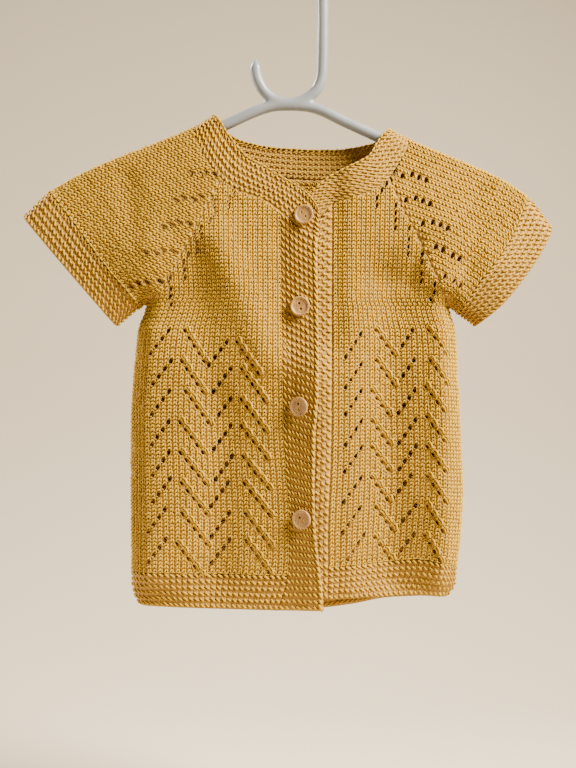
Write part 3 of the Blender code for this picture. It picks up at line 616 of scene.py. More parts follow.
@dataclass
class Chart:
    """A knitted piece laid flat, with the place on the garment of each stitch.

    Attributes:
        places: SUB places for each row upwards and SUB for each column, on the cloth's outer face.
        cell: width and height of a stitch.
        low: the first column of each row, high: the last one, top: the last row of each column.
        garter: whether its rows are ridges of loops, plain: whether it is knit with the back's simpler stitches.
        chain: whether its edge is a slipped chain.
        rope: how strongly a picked-up or cast-off chain stands out along its top, from 0 to 1.
        fullness: how much of a garter ridge its loops fill.
        eyelets: column, row and drift of each hole; drift is -1 in lines that slant down to the left,
            1 in lines that slant down to the right, and 0 beside a raglan line.
        cords: the columns and rows of its raised decreases.
        opening: how far a hole beside a raglan line pushes columns and rows apart.
    """

    places: Array
    cell: tuple[float, float] = (STITCH, ROW)
    low: Array | None = None
    high: Array | None = None
    top: Array | None = None
    garter: bool = False
    plain: bool = False
    chain: bool = False
    rope: float = 0.0
    fullness: float = 1.0
    eyelets: list[tuple[float, float, int]] = field(default_factory=list)
    cords: list[tuple[float, float]] = field(default_factory=list)
    opening: tuple[float, float] = (0.1, 1.25)
    normals: Array = field(init=False)

    def __post_init__(self) -> None:
        """Turns the chart so that columns run to the viewer's right where rows run up."""
        self.rows = (self.places.shape[0] - 1) // SUB
        self.columns = (self.places.shape[1] - 1) // SUB
        self.low = np.zeros(len(self.places)) if self.low is None else self.low
        self.high = np.full(len(self.places), float(self.columns)) if self.high is None else self.high
        self.top = np.full(self.places.shape[1], float(self.rows)) if self.top is None else self.top
        self.normals = self._outward()
        facing = self.normals[..., 1] * np.sign(self.places[..., 1])
        if facing.sum() < 0:
            self.places = self.places[:, ::-1]
            self.low, self.high = self.columns - self.high, self.columns - self.low
            self.top = self.top[::-1]
            self.normals = self._outward()

    def _outward(self) -> Array:
        """Directions square to the cloth, outwards where the chart is the right way round.

        Returns:
            A direction of length 1 for each place.
        """
        across = np.gradient(self.places, axis=1)
        up = np.gradient(self.places, axis=0)
        return unit(np.cross(across, up))

    def at(self, u: Array, v: Array, height: Array) -> Array:
        """Places on the garment.

        Args:
            u: columns, from 0.
            v: rows, from 0 at the lower edge.
            height: how far each place stands out of the cloth's outer face.

        Returns:
            The places, in the front view's axes.
        """
        x, y = u * SUB, v * SUB
        i = np.clip(np.floor(x).astype(int), 0, self.places.shape[1] - 2)
        j = np.clip(np.floor(y).astype(int), 0, self.places.shape[0] - 2)
        fx, fy = (x - i)[..., None], (y - j)[..., None]

        def mix(grid: Array) -> Array:
            """The grid's value between its four nearest places.

            Args:
                grid: a value for each of the chart's places.

            Returns:
                The value at each wanted place.
            """
            low = grid[j, i] * (1 - fx) + grid[j, i + 1] * fx
            high = grid[j + 1, i] * (1 - fx) + grid[j + 1, i + 1] * fx
            return low * (1 - fy) + high * fy

        return mix(self.places) + unit(mix(self.normals)) * np.asarray(height)[..., None]

    def nearest(self, x: float, z: float) -> tuple[float, float]:
        """The middle of the stitch nearest a front-view place.

        Args:
            x: the place's x.
            z: its height.

        Returns:
            The stitch's column and row.
        """
        gap = (self.places[..., 0] - x) ** 2 + (self.places[..., 2] - z) ** 2
        j, i = np.unravel_index(np.argmin(gap), gap.shape)
        return np.floor(i / SUB) + 0.5, np.floor(j / SUB) + 0.5

    def add_lace(self, columns: Iterable[LaceColumn]) -> None:
        """Sets slanting rows of eyelets, with a raised decrease beside those that run to the right.

        Args:
            columns: the columns of slanting rows.
        """
        for column in columns:
            for k in range(LACE_REPEATS):
                share = k / (LACE_REPEATS - 1)
                x = column.x_first + (column.x_last - column.x_first) * share
                z = column.z_first + (column.z_last - column.z_first) * share
                u, v = self.nearest(x, z)
                for step in range(column.eyelets):
                    at = (u + column.drift * step, v - 2 * step)
                    self.eyelets.append((*at, column.drift))
                    if column.drift > 0:
                        self.cords.append((at[0] + CORD_OFFSET[0], at[1] + CORD_OFFSET[1]))

    def add_eyelets(self, rows: Iterable[EyeletRow]) -> None:
        """Sets short rows of eyelets beside a raglan line.

        Args:
            rows: the rows of eyelets.
        """
        for row in rows:
            for t in np.linspace(0.0, 1.0, row.holes):
                at = (*self.nearest(row.x_first + (row.x_last - row.x_first) * t,
                                    row.z_first + (row.z_last - row.z_first) * t), 0)
                if at not in self.eyelets:
                    self.eyelets.append(at)

    def opened(self, u: Array, v: Array, reach: float = 2.4) -> tuple[Array, Array]:
        """Columns and rows pushed away from the middle of each eyelet, as a yarn-over pulls open.

        Args:
            u: columns.
            v: rows.
            reach: how far from an eyelet the push fades.

        Returns:
            The columns and rows after the push.
        """
        x, y = u * self.cell[0], v * self.cell[1]
        dx, dy = np.zeros_like(x), np.zeros_like(y)
        for a, b, drift in self.eyelets:
            across, up = LACE_OPENING[drift] if drift else self.opening
            ox, oy = x - a * self.cell[0], y - b * self.cell[1]
            gap = np.hypot(ox, oy)
            weight = np.exp(-(gap / reach) ** 2) / np.maximum(gap, 0.2)
            dx += across * weight * ox
            dy += up * weight * oy
        return (x + dx) / self.cell[0], (y + dy) / self.cell[1]

    def ground(self) -> tuple[Array, Array, list[tuple[int, ...]]]:
        """The ground cloth between the strands, without its eyelets.

        Returns:
            Its places, their columns and rows, and its faces.
        """
        u, v = np.meshgrid(np.arange(self.columns + 1.0), np.arange(self.rows + 1.0))
        heights = np.arange(len(self.places)) / SUB
        widths = np.arange(self.places.shape[1]) / SUB
        u = np.clip(u, np.interp(v, heights, self.low), np.interp(v, heights, self.high))
        v = np.minimum(v, np.interp(u, widths, self.top))
        wide = self.columns + 1
        corners = {(j, i): (j * wide + i, j * wide + i + 1, (j + 1) * wide + i + 1, (j + 1) * wide + i)
                   for j in range(self.rows) for i in range(self.columns)}
        u, v = u.ravel(), v.ravel()
        faces = []
        for a, b, drift in self.eyelets:
            outer = corners.pop((int(b), int(a)), None)
            if outer is None:
                continue
            slant = EYELET_SLANT * (1 if drift > 0 else -1)
            rim = [(a + x - slant * y, b + y) for x, y in EYELET_RIM]
            inner = tuple(range(len(u), len(u) + len(rim)))
            u, v = np.append(u, [p[0] for p in rim]), np.append(v, [p[1] for p in rim])
            for k in range(4):
                n = (k + 1) % 4
                faces.append((outer[k], outer[n], inner[2 * n], inner[2 * k + 1], inner[2 * k]))
        faces += list(corners.values())
        u_open, v_open = self.opened(u, v)
        places = self.at(u_open, v_open, np.full(u.shape, -GROUND_SINK))
        return places, np.stack([u, v], -1), faces

    def cells(self, first: float = 0.0, last: float = 1.0) -> Array:
        """Middles of the stitches inside the chart's edges, between two shares of its rows.

        Args:
            first: the share of the rows where they start.
            last: the share where they end.

        Returns:
            A column and a row for each stitch.
        """
        u, v = np.meshgrid(np.arange(self.columns) + 0.5, np.arange(self.rows) + 0.5)
        heights = np.arange(len(self.places)) / SUB
        widths = np.arange(self.places.shape[1]) / SUB
        inside = u > np.interp(v, heights, self.low) + SIDE_MARGIN
        inside &= u < np.interp(v, heights, self.high) - SIDE_MARGIN
        inside &= v < np.interp(u, widths, self.top) - TOP_MARGIN
        inside &= (v >= first * self.rows) & (v < last * self.rows)
        for a, b, _ in self.eyelets:
            inside &= ~((np.abs(u - a) < 0.1) & (np.abs(v - b) < 0.1))
        return np.stack([u[inside], v[inside]], axis=-1)


@dataclass(frozen=True)
class Half:
    """The lines and the lace of one side of the vest, as the tables above give them."""

    sign: float
    side: Line
    front_edge: Line
    raglan: Line
    back_raglan: Line
    hem_top: Line
    neck: Sequence[BandRow]
    cuff_seam: Line
    cuff_edge: Line
    lace: Sequence[LaceColumn]
    body_eyelets: Sequence[EyeletRow]
    sleeve_eyelets: Sequence[EyeletRow]

    @property
    def corner(self) -> Array:
        """Where the shoulder meets the neckband, in the front view."""
        return np.array([self.neck[0].outer_x, self.neck[0].outer_z])


LEFT_HALF = Half(1.0, LEFT_SIDE, BUTTONHOLE_LEFT, LEFT_RAGLAN, LEFT_BACK_RAGLAN, LEFT_HEM_TOP, NECK_LEFT,
                 LEFT_CUFF_SEAM, LEFT_CUFF_EDGE, LEFT_LACE, LEFT_BODY_EYELETS, LEFT_SLEEVE_EYELETS)
RIGHT_HALF = Half(-1.0, RIGHT_SIDE, BUTTON_BAND_RIGHT, RIGHT_RAGLAN, RIGHT_BACK_RAGLAN, RIGHT_HEM_TOP, NECK_RIGHT,
                  RIGHT_CUFF_SEAM, RIGHT_CUFF_EDGE, RIGHT_LACE, RIGHT_BODY_EYELETS, RIGHT_SLEEVE_EYELETS)


def stitches(rows: Array) -> int:
    """How many places SUB to a stitch span the rows' mean length."""
    return round(lengths(rows).mean() / STITCH) * SUB


def towards_folds(count: int) -> Array:
    """Fractions from 0 to 1 that crowd together at both ends, where a row meets a fold."""
    return 0.5 - 0.5 * np.cos(pi * np.linspace(0.0, 1.0, count))


def towards_fold(count: int) -> Array:
    """Fractions from 0 to 1 that crowd together at the end, where a row meets a fold."""
    return np.sin(0.5 * pi * np.linspace(0.0, 1.0, count))


@dataclass(frozen=True)
class Patterns:
    """Draws the chart of each knitted piece on the garment's form."""

    form: Form
    virtual_top_left: tuple[float, float] = (-113.0, -136.0)
    virtual_top_right: tuple[float, float] = (117.0, -136.0)
    front_top: float = -150.0
    back_top: float = -136.0
    panel_end: float = -430.0
    under_panel_end: float = -424.0
    hem_ridges: int = 6
    band_columns: int = 8
    band_fullness: float = 0.9
    band_slant_end: float = 0.22
    hem_rope: float = 0.6
    beyond_seam: float = 1.15
    bulge_end: float = 1.5
    sleeve_opening: tuple[float, float] = (1.7, 0.55)

    def _outline(self, left: bool) -> Array:
        """A side edge, carried on upwards from the underarm."""
        top = self.virtual_top_left if left else self.virtual_top_right
        return np.vstack([top, smooth_curve((LEFT_HALF if left else RIGHT_HALF).side)])

    def _panel_rows(self, starts: Array, ends: Array, base: float, top: float, hem: Array,
                    eased: Array, layer: Layer) -> Array:
        """Closely spaced places for each row of a panel whose lowest rows follow its hem.

        Args:
            starts: the line where rows begin, ends: the line where they end.
            base: the lowest row's usual height, top: the highest row's.
            hem: the line that the lowest row follows.
            eased: fractions along a row, close together at a fold.
            layer: the layer that the panel lies on.

        Returns:
            The places, lowest row first.
        """
        count = round((top - base) / ROW) * SUB + 1
        share = np.linspace(0.0, 1.0, count)[:, None]
        level = base + (top - base) * share
        low = (1.0 - share) ** 3
        limits = []
        for line in (starts, ends):
            x = x_at(line, level)
            limits.append(x_at(line, level + low * (z_at(hem, x) - base)))
        x = limits[0] + (limits[1] - limits[0]) * eased
        z = level + low * (z_at(hem, x) - base)
        return self.form.place(np.stack([x, z], -1), layer)

    def front(self, left: bool) -> Chart:
        """One front, from its band to its side.

        Args:
            left: whether it is on the viewer's left.

        Returns:
            Its chart.
        """
        half = LEFT_HALF if left else RIGHT_HALF
        raglan = smooth_curve(half.raglan)
        neck = neck_edge(half.neck, True, 3, 6)
        rows = self._panel_rows(smooth_curve(half.front_edge), self._outline(left),
                                self.panel_end if left else self.under_panel_end, self.front_top,
                                smooth_curve(half.hem_top), towards_fold(ROW_SAMPLES),
                                Layer.FRONT if left else Layer.UNDER)
        reach, _ = carried_up(rows, raglan[-1, 1], 1)
        places = spread(rows, stitches(rows[:len(rows) // 2]), reach)
        x, z = places[..., 0], places[..., 2]
        past = (x_at(raglan, z) - x) * half.sign
        past[z < raglan[-1, 1]] = -1.0
        chart = Chart(places, high=crossing(past), top=crossing((z - z_at(neck, x)).T))
        chart.add_lace(half.lace)
        chart.add_eyelets(half.body_eyelets)
        return chart

    def back(self) -> Chart:
        """The back, from side to side.

        Returns:
            Its chart.
        """
        left, right = smooth_curve(LEFT_BACK_RAGLAN), smooth_curve(RIGHT_BACK_RAGLAN)
        neck = neck_edge(NECK_BACK, True, 2, 7)
        rows = self._panel_rows(self._outline(True), self._outline(False), self.panel_end, self.back_top,
                                smooth_curve(BACK_HEM_TOP), towards_folds(2 * ROW_SAMPLES), Layer.BACK)
        places = spread(rows, stitches(rows[:len(rows) // 2]), *carried_up(rows, left[-1, 1], 2))
        x, z = places[..., 0], places[..., 2]
        past_left, past_right = x_at(left, z) - x, x - x_at(right, z)
        past_left[z < left[-1, 1]] = -1.0
        past_right[z < right[-1, 1]] = -1.0
        low = (places.shape[1] - 1) / SUB - crossing(past_left[:, ::-1])
        return Chart(places, plain=True, low=low, high=crossing(past_right), top=crossing((z - z_at(neck, x)).T))

    def hem(self, top: Line, edge: Line, layer: Layer, band: Line | None = None, left: bool = True) -> Chart:
        """A garter band at the lower edge.

        Args:
            top: where the band meets its panel.
            edge: its lower edge.
            layer: the layer that it lies on.
            band: the front band that it ends at, or None where it runs from side to side.
            left: whether its side edge is the viewer's left one.

        Returns:
            Its chart, whose rows are ridges.
        """
        upper, lower = smooth_curve(top), smooth_curve(edge)
        share = np.linspace(0.0, 1.0, self.hem_ridges * SUB + 1)[:, None]
        if band is None:
            lines, eased = (self._outline(True), self._outline(False)), towards_folds(ROW_SAMPLES)
        else:
            lines, eased = (smooth_curve(band), self._outline(left)), towards_fold(ROW_SAMPLES)
        limits = []
        for line in lines:
            x = x_at(line, np.full(share.shape, 0.5 * (upper[0, 1] + lower[0, 1])))
            for _ in range(2):
                x = x_at(line, z_at(lower, x) + share * (z_at(upper, x) - z_at(lower, x)))
            limits.append(x)
        x = limits[0] + (limits[1] - limits[0]) * eased
        z = z_at(lower, x) + share * (z_at(upper, x) - z_at(lower, x))
        rows = self.form.place(np.stack([x, z], -1), layer)
        return Chart(spread(rows, stitches(rows)), cell=(STITCH, RIDGE), garter=True, rope=self.hem_rope)

    def front_band(self, left: Line, right: Line, top: Array, layer: Layer, chain: bool) -> Chart:
        """A garter band down the front, whose upper end follows the neckband's end.

        Args:
            left: its long edge on the viewer's left, right: the other one.
            top: the line that its upper end follows.
            layer: the layer that it lies on.
            chain: whether its right edge is a slipped chain.

        Returns:
            Its chart.
        """
        a, b = smooth_curve(left), smooth_curve(right)
        shares = np.linspace(1.0, 0.0, round(lengths(a) / BAND_RIDGE) * SUB + 1)
        across = np.linspace(0.0, 1.0, 24)[:, None]
        starts, ends = along(a, shares)[:, None], along(b, shares)[:, None]
        first = a[0] + (b[0] - a[0]) * across
        at = a[0, 0] + (b[0, 0] - a[0, 0]) * across[:, 0]
        bend = np.stack([np.interp(at, top[:, 0], column) for column in top.T], -1) - first
        xz = starts + (ends - starts) * across + bend * (1.0 - ease(shares / self.band_slant_end))[:, None, None]
        rows = self.form.place(xz, layer)
        return Chart(spread(rows, self.band_columns * SUB), cell=(BAND_STITCH, BAND_RIDGE), garter=True,
                     chain=chain, fullness=self.band_fullness)

    def neckband(self) -> Chart:
        """The garter band round the neck, from one front end over the back to the other.

        Returns:
            Its chart.
        """
        across = np.linspace(1.0, 0.0, self.hem_ridges * SUB + 1)[:, None]
        parts = []
        for rows, layer in ((NECK_LEFT, Layer.FRONT), (NECK_BACK, Layer.BACK), (NECK_RIGHT, Layer.UNDER)):
            inner, outer = neck_edge(rows, False), neck_edge(rows, True)
            fine = np.linspace(0.0, 1.0, 25 * len(rows))
            fine = 0.5 - 0.5 * np.cos(pi * fine) if layer is Layer.BACK else 1.0 - np.cos(0.5 * pi * fine)
            index = np.linspace(0.0, 1.0, len(inner))
            inner = np.stack([np.interp(fine, index, c) for c in inner.T], axis=-1)
            outer = np.stack([np.interp(fine, index, c) for c in outer.T], axis=-1)
            parts.append(self.form.place(inner[:, None] + (outer - inner)[:, None] * across[None], layer))
        left, back, right = parts
        left[0, :, 1] = right[0, :, 1] = 0.0
        whole = np.concatenate([left[::-1], back[1:-1], right])
        steps = np.linalg.norm(np.diff(whole[:, len(across) // 2], axis=0), axis=1)
        arc = np.concatenate([[0.0], np.cumsum(steps)])
        where = np.linspace(0.0, arc[-1], round(arc[-1] / STITCH) * SUB + 1)
        places = np.stack([np.stack([np.interp(where, arc, whole[:, k, axis]) for axis in range(3)], -1)
                           for k in range(len(across))])
        return Chart(places, cell=(STITCH, RIDGE), garter=True, rope=1.0)

    def sleeve_half(self, left: bool, layer: Layer) -> Chart:
        """The front or back of a sleeve, its rows beside the cuff seam and its columns along the sleeve.

        Args:
            left: whether it is on the viewer's left.
            layer: the layer that it lies on.

        Returns:
            Its chart.
        """
        half = LEFT_HALF if left else RIGHT_HALF
        seam, edge, corner = smooth_curve(half.cuff_seam), smooth_curve(half.cuff_edge), half.corner
        if layer is Layer.BACK:
            raglan = smooth_curve(half.back_raglan)
            neck_part = neck_edge(NECK_BACK, True, 0, 2) if left else neck_edge(NECK_BACK, True, 7)[::-1]
        else:
            raglan = smooth_curve(half.raglan)
            neck_part = neck_edge(half.neck, True, 0, 3)
        start = np.vstack([neck_part, raglan[1:]])
        count = round(np.linalg.norm(seam[0] - corner) / ROW) * SUB + 1
        shares = np.linspace(0.0, 1.0, count)
        high = np.array([along_sleeve(corner, seam[0], edge[0], 1.0 - t) for t in shares])
        f = np.concatenate([towards_folds(2 * ROW_SAMPLES), [self.beyond_seam]])
        on_seam = np.clip(f, 0, 1)
        bulge = along(seam, on_seam) - (seam[0] + (seam[-1] - seam[0]) * on_seam[:, None])
        run = (seam[-1] - seam[0])[None] * f[:, None]
        xz = high[:, None] + run[None] + bulge[None] * (1.0 - ease(self.bulge_end * shares))[:, None, None]
        rows = self.form.place(xz, layer)
        rows[:, 0, 1] = 0.0
        reach = lengths(rows[0, :-1])
        places = spread(rows, round(reach / STITCH) * SUB, np.full(count, reach))
        x, z = places[..., 0], places[..., 2]
        past = (x - x_at(start, z)) * half.sign
        past[z < start[-1, 1]] = -1.0
        chart = Chart(places, plain=layer is Layer.BACK, high=crossing(past),
                      opening=self.sleeve_opening)
        if layer is not Layer.BACK:
            chart.add_eyelets(half.sleeve_eyelets)
        return chart

    def cuff(self, left: bool) -> Chart:
        """The garter band round a sleeve's end.

        Args:
            left: whether it is on the viewer's left.

        Returns:
            Its chart.
        """
        half = LEFT_HALF if left else RIGHT_HALF
        seam, edge, places = smooth_curve(half.cuff_seam), smooth_curve(half.cuff_edge), towards_folds(ROW_SAMPLES)
        start = half.corner + (np.array(half.side[0]) - half.corner) * places[:, None]
        halves = []
        for layer in (Layer.FRONT, Layer.BACK):
            rows = np.array([along_sleeve(start, along(seam, places), along(edge, places), t)
                             for t in np.linspace(2.0, 1.0, self.hem_ridges * SUB + 1)])
            placed = self.form.place(rows, layer)
            placed[:, 0, 1] = placed[:, -1, 1] = 0.0
            halves.append(spread(placed, stitches(placed)))
        ring = np.concatenate([halves[0], halves[1][:, -2::-1]], axis=1)
        return Chart(ring, cell=(STITCH, RIDGE), garter=True, rope=1.0)


def add_node(tree: NodeTree, kind: str, inputs: dict | None = None, **settings: object) -> Node:
    """Adds a node and fills its inputs.

    Args:
        tree: the node tree.
        kind: the node's type.
        inputs: a value or an output socket for each input, by name or number.
        settings: the node's own settings.

    Returns:
        The node.
    """
    node = tree.nodes.new(kind)
    for key, value in settings.items():
        setattr(node, key, value)
    for key, value in (inputs or {}).items():
        socket = node.inputs[key] if isinstance(key, int) else next(
            s for s in node.inputs if s.name == key and s.enabled)
        if isinstance(value, NodeSocket):
            tree.links.new(value, socket)
        else:
            socket.default_value = value
    return node


def maths(tree: NodeTree, how: str, *values: object) -> NodeSocket:
    """The result of arithmetic on values and outputs."""
    return add_node(tree, "ShaderNodeMath", dict(enumerate(values)), operation=how).outputs[0]


def mapped(tree: NodeTree, value: NodeSocket, span: dict[int, float]) -> NodeSocket:
    """The value mapped over a span, whose limits are named by the number of the node's input."""
    return add_node(tree, "ShaderNodeMapRange", {0: value, **span}).outputs[0]


def noise(tree: NodeTree, place: NodeSocket, scale: object, detail: float, **more: float) -> NodeSocket:
    """Soft noise over places."""
    return add_node(tree, "ShaderNodeTexNoise", {"Vector": place, "Scale": scale, "Detail": detail,
                                                 **more}).outputs[0]


def output(node: Node, name: str) -> NodeSocket:
    """The node's output of that name that is in use."""
    return next(s for s in node.outputs if s.name == name and s.enabled)


def set_inputs(modifier: NodesModifier, values: dict[str, object]) -> None:
    """Sets a Geometry Nodes modifier's named inputs by their identifiers.

    Args:
        modifier: the modifier.
        values: a value for each input's name.
    """
    for item in modifier.node_group.interface.items_tree:
        if item.item_type == "SOCKET" and item.in_out == "INPUT" and item.name in values:
            modifier[item.identifier] = values[item.name]


def link(name: str, data: ID) -> Object:
    """Makes an object of a mesh, a light or a camera in the scene.

    Args:
        name: the object's name.
        data: what it shows.

    Returns:
        The object.
    """
    piece = bpy.data.objects.new(name, data)
    bpy.context.scene.collection.objects.link(piece)
    return piece


def baked(piece: Object) -> Object:
    """The same piece with its modifiers' result as its mesh.

    Args:
        piece: the piece with its modifiers.

    Returns:
        The piece.
    """
    bpy.context.view_layer.update()
    graph = bpy.context.evaluated_depsgraph_get()
    old = piece.data
    mesh = bpy.data.meshes.new_from_object(piece.evaluated_get(graph), preserve_all_data_layers=True,
                                           depsgraph=graph)
    piece.modifiers.clear()
    piece.data = mesh
    mesh.name = piece.name
    if old.users == 0:
        bpy.data.meshes.remove(old)
    return piece


def new_tree(name: str, kind: str, inputs: Sequence[tuple], outputs: Sequence[tuple[str, str]]
             ) -> tuple[NodeTree, Node, Node]:
    """A new node group.

    Args:
        name: its name.
        kind: its tree's type.
        inputs: name, socket type and, where it has one, default of each input.
        outputs: name and socket type of each output.

    Returns:
        The tree with its input and output nodes.
    """
    tree = bpy.data.node_groups.new(name, kind)
    for label, socket_type, *default in inputs:
        socket = tree.interface.new_socket(label, in_out="INPUT", socket_type=socket_type)
        if default:
            socket.default_value = default[0]
    for label, socket_type in outputs:
        tree.interface.new_socket(label, in_out="OUTPUT", socket_type=socket_type)
    return tree, tree.nodes.new("NodeGroupInput"), tree.nodes.new("NodeGroupOutput")


class Shading:
    """Node groups that more than one finish uses."""

    @staticmethod
    def ply_twist() -> NodeTree:
        """Plies that wind round a strand: around the strand is U and along it is V.

        Returns:
            The group, which gives a height from 0 to 1.
        """
        tree, source, sink = new_tree("ply_twist", "ShaderNodeTree", (
            ("Strand", "NodeSocketVector"), ("Plies", "NodeSocketFloat", 4.0),
            ("Turns", "NodeSocketFloat", 2.5)), (("Height", "NodeSocketFloat"),))
        split = add_node(tree, "ShaderNodeSeparateXYZ", {0: source.outputs["Strand"]})
        around = maths(tree, "MULTIPLY", split.outputs[0], source.outputs["Plies"])
        both = maths(tree, "MULTIPLY_ADD", split.outputs[1], source.outputs["Turns"], around)
        wave = maths(tree, "SINE", maths(tree, "MULTIPLY", both, 2.0 * pi))
        tree.links.new(maths(tree, "MULTIPLY_ADD", wave, 0.5, 0.5), sink.inputs["Height"])
        return tree

    @staticmethod
    def cloud() -> NodeTree:
        """Soft unevenness over the whole piece, and fine fuzz.

        Returns:
            The group.
        """
        tree, source, sink = new_tree("cloud", "ShaderNodeTree", (
            ("Place", "NodeSocketVector"), ("Coarse", "NodeSocketFloat", 30.0),
            ("Fine", "NodeSocketFloat", 2500.0)), (("Soft", "NodeSocketFloat"), ("Fuzz", "NodeSocketFloat")))
        for scale, label in (("Coarse", "Soft"), ("Fine", "Fuzz")):
            tree.links.new(noise(tree, source.outputs["Place"], source.outputs[scale], 2.0), sink.inputs[label])
        return tree


def new_material(name: str) -> tuple[Material, NodeTree, Node]:
    """A material with its tree and its Principled shader.

    Args:
        name: its name.

    Returns:
        The material, its tree and its shader.
    """
    material = bpy.data.materials.new(name)
    material.use_nodes = True
    return material, material.node_tree, material.node_tree.nodes["Principled BSDF"]


def finish_shader(tree: NodeTree, shader: Node, colour: NodeSocket, bump: Node | None, **values: object) -> None:
    """Feeds the shader its colour and bump, and sets its named inputs, with _ for a space.

    Args:
        tree: the material's tree.
        shader: its shader.
        colour: the output with the colour.
        bump: the bump node, or None.
        values: a value for each input's name.
    """
    tree.links.new(colour, shader.inputs["Base Color"])
    if bump is not None:
        tree.links.new(bump.outputs[0], shader.inputs["Normal"])
    for name, value in values.items():
        shader.inputs[name.replace("_", " ")].default_value = value


def blend_colour(tree: NodeTree, factor: object, first: object, second: object, how: str = "MIX") -> NodeSocket:
    """The colour between two others.

    Args:
        tree: the node tree.
        factor: the second colour's share, as a number or an output.
        first: a colour or an output.
        second: the other colour or output.
        how: the blend type.

    Returns:
        The output with the blended colour.
    """
    node = tree.nodes.new("ShaderNodeMix")
    node.data_type, node.blend_type = "RGBA", how
    for key, value in (("Factor", factor), ("A", first), ("B", second)):
        socket = next(s for s in node.inputs if s.name == key and s.enabled)
        if isinstance(value, NodeSocket):
            tree.links.new(value, socket)
        else:
            socket.default_value = value
    return output(node, "Result")


def toned(tree: NodeTree, colour: NodeSocket, source: NodeSocket, span: dict[int, float]) -> NodeSocket:
    """The colour made lighter and darker by a value that is mapped over a span.

    Args:
        tree: the node tree.
        colour: the output with the colour.
        source: the output with the value.
        span: the limits of the map, by the number of the node's input.

    Returns:
        The output with the toned colour.
    """
    tone = mapped(tree, source, span)
    grey = add_node(tree, "ShaderNodeCombineColor", {k: tone for k in range(3)})
    return blend_colour(tree, 1.0, colour, grey.outputs[0], "MULTIPLY")


@dataclass(frozen=True)
class YarnFinish:
    """Soft plied cotton yarn with painted light and shade: lighter on the strands' tops as a painted highlight,
    darker underneath and between the strands as painted shade.
    """

    # Painted light: the first colour is the painted highlight on a strand's top, the second its sides, the third
    # the painted shade underneath and at its ends.
    light: Colour = (0.60, 0.355, 0.026, 1.0)
    body: Colour = (0.48, 0.258, 0.018, 1.0)
    painted_shade: Colour = (0.36, 0.180, 0.018, 1.0)
    roughness: float = 0.72
    sheen: float = 0.05
    sheen_roughness: float = 0.45
    gloss: float = 0.15
    shine: Colour = (1.0, 0.80, 0.45, 1.0)
    ply_depth: float = 0.00012
    ply_strength: float = 0.7

    def material(self, twist: NodeTree, cloud: NodeTree) -> Material:
        """Makes the strands' material from the shared groups.

        Args:
            twist: the group of plies.
            cloud: the group of unevenness.

        Returns:
            The material.
        """
        material, tree, shader = new_material("yarn")
        strand = add_node(tree, "ShaderNodeUVMap", uv_map="Strand")
        place = add_node(tree, "ShaderNodeTexCoord")
        crown = add_node(tree, "ShaderNodeAttribute", attribute_name="crown")
        plies = add_node(tree, "ShaderNodeGroup", node_tree=twist)
        soft = add_node(tree, "ShaderNodeGroup", node_tree=cloud)
        tree.links.new(strand.outputs[0], plies.inputs["Strand"])
        tree.links.new(place.outputs["Object"], soft.inputs["Place"])
        # Painted light and shade: the crown mask blends the painted shade under a strand into the painted
        # highlight on its top.
        low, high = (mapped(tree, crown.outputs["Fac"], span) for span in ({1: 0.0, 2: 0.62}, {1: 0.55, 2: 1.0}))
        colour = blend_colour(tree, low, self.painted_shade, self.body)
        colour = blend_colour(tree, high, colour, self.light)
        # Painted shade in the grooves between the plies, which also drive the bump.
        colour = toned(tree, colour, plies.outputs[0], {3: 0.86, 4: 1.06})
        colour = toned(tree, colour, soft.outputs["Soft"], {1: 0.3, 2: 0.7, 3: 0.93, 4: 1.05})
        height = maths(tree, "MULTIPLY_ADD", soft.outputs["Fuzz"], 0.5, plies.outputs[0])
        bump = add_node(tree, "ShaderNodeBump", {"Height": height, "Distance": self.ply_depth,
                                                 "Strength": self.ply_strength})
        finish_shader(tree, shader, colour, bump, Roughness=self.roughness, Specular_IOR_Level=self.gloss,
                      Specular_Tint=self.shine, Sheen_Weight=self.sheen, Sheen_Roughness=self.sheen_roughness,
                      Sheen_Tint=self.shine)
        return material


@dataclass(frozen=True)
class GroundFinish:
    """The cloth between the strands, coloured darker than the yarn as painted shade, with the purl loops of its
    inner face and painted shade in the furrows between them.
    """

    # Painted shade: both colours are darker than the yarn to stand for the shade in the gaps between strands; the
    # second is the painted shade in the furrows between the purl loops.
    loop: Colour = (0.46, 0.23, 0.020, 1.0)
    painted_shade: Colour = (0.34, 0.165, 0.016, 1.0)
    roughness: float = 0.85
    sway: float = 0.22

    def material(self, cloud: NodeTree) -> Material:
        """Makes the ground's material. Its map counts stitches and rows.

        Args:
            cloud: the group of unevenness.

        Returns:
            The material.
        """
        material, tree, shader = new_material("yarn_ground")
        chart = add_node(tree, "ShaderNodeUVMap", uv_map="Chart")
        split = add_node(tree, "ShaderNodeSeparateXYZ", {0: chart.outputs[0]})
        sway = maths(tree, "SINE", maths(tree, "MULTIPLY", split.outputs[0], 2.0 * pi))
        bent = maths(tree, "MULTIPLY_ADD", sway, self.sway, split.outputs[1])
        wave = maths(tree, "SINE", maths(tree, "MULTIPLY", bent, 2.0 * pi))
        loops = mapped(tree, wave, {1: -0.8, 2: 1.0})
        soft = add_node(tree, "ShaderNodeGroup", node_tree=cloud)
        place = add_node(tree, "ShaderNodeTexCoord")
        tree.links.new(place.outputs["Object"], soft.inputs["Place"])
        # Painted shade in the furrows between the purl loops.
        colour = blend_colour(tree, loops, self.painted_shade, self.loop)
        colour = toned(tree, colour, soft.outputs["Soft"], {1: 0.3, 2: 0.7, 3: 0.9, 4: 1.08})
        bump = add_node(tree, "ShaderNodeBump", {"Height": loops, "Distance": 0.0006})
        finish_shader(tree, shader, colour, bump, Roughness=self.roughness)
        return material


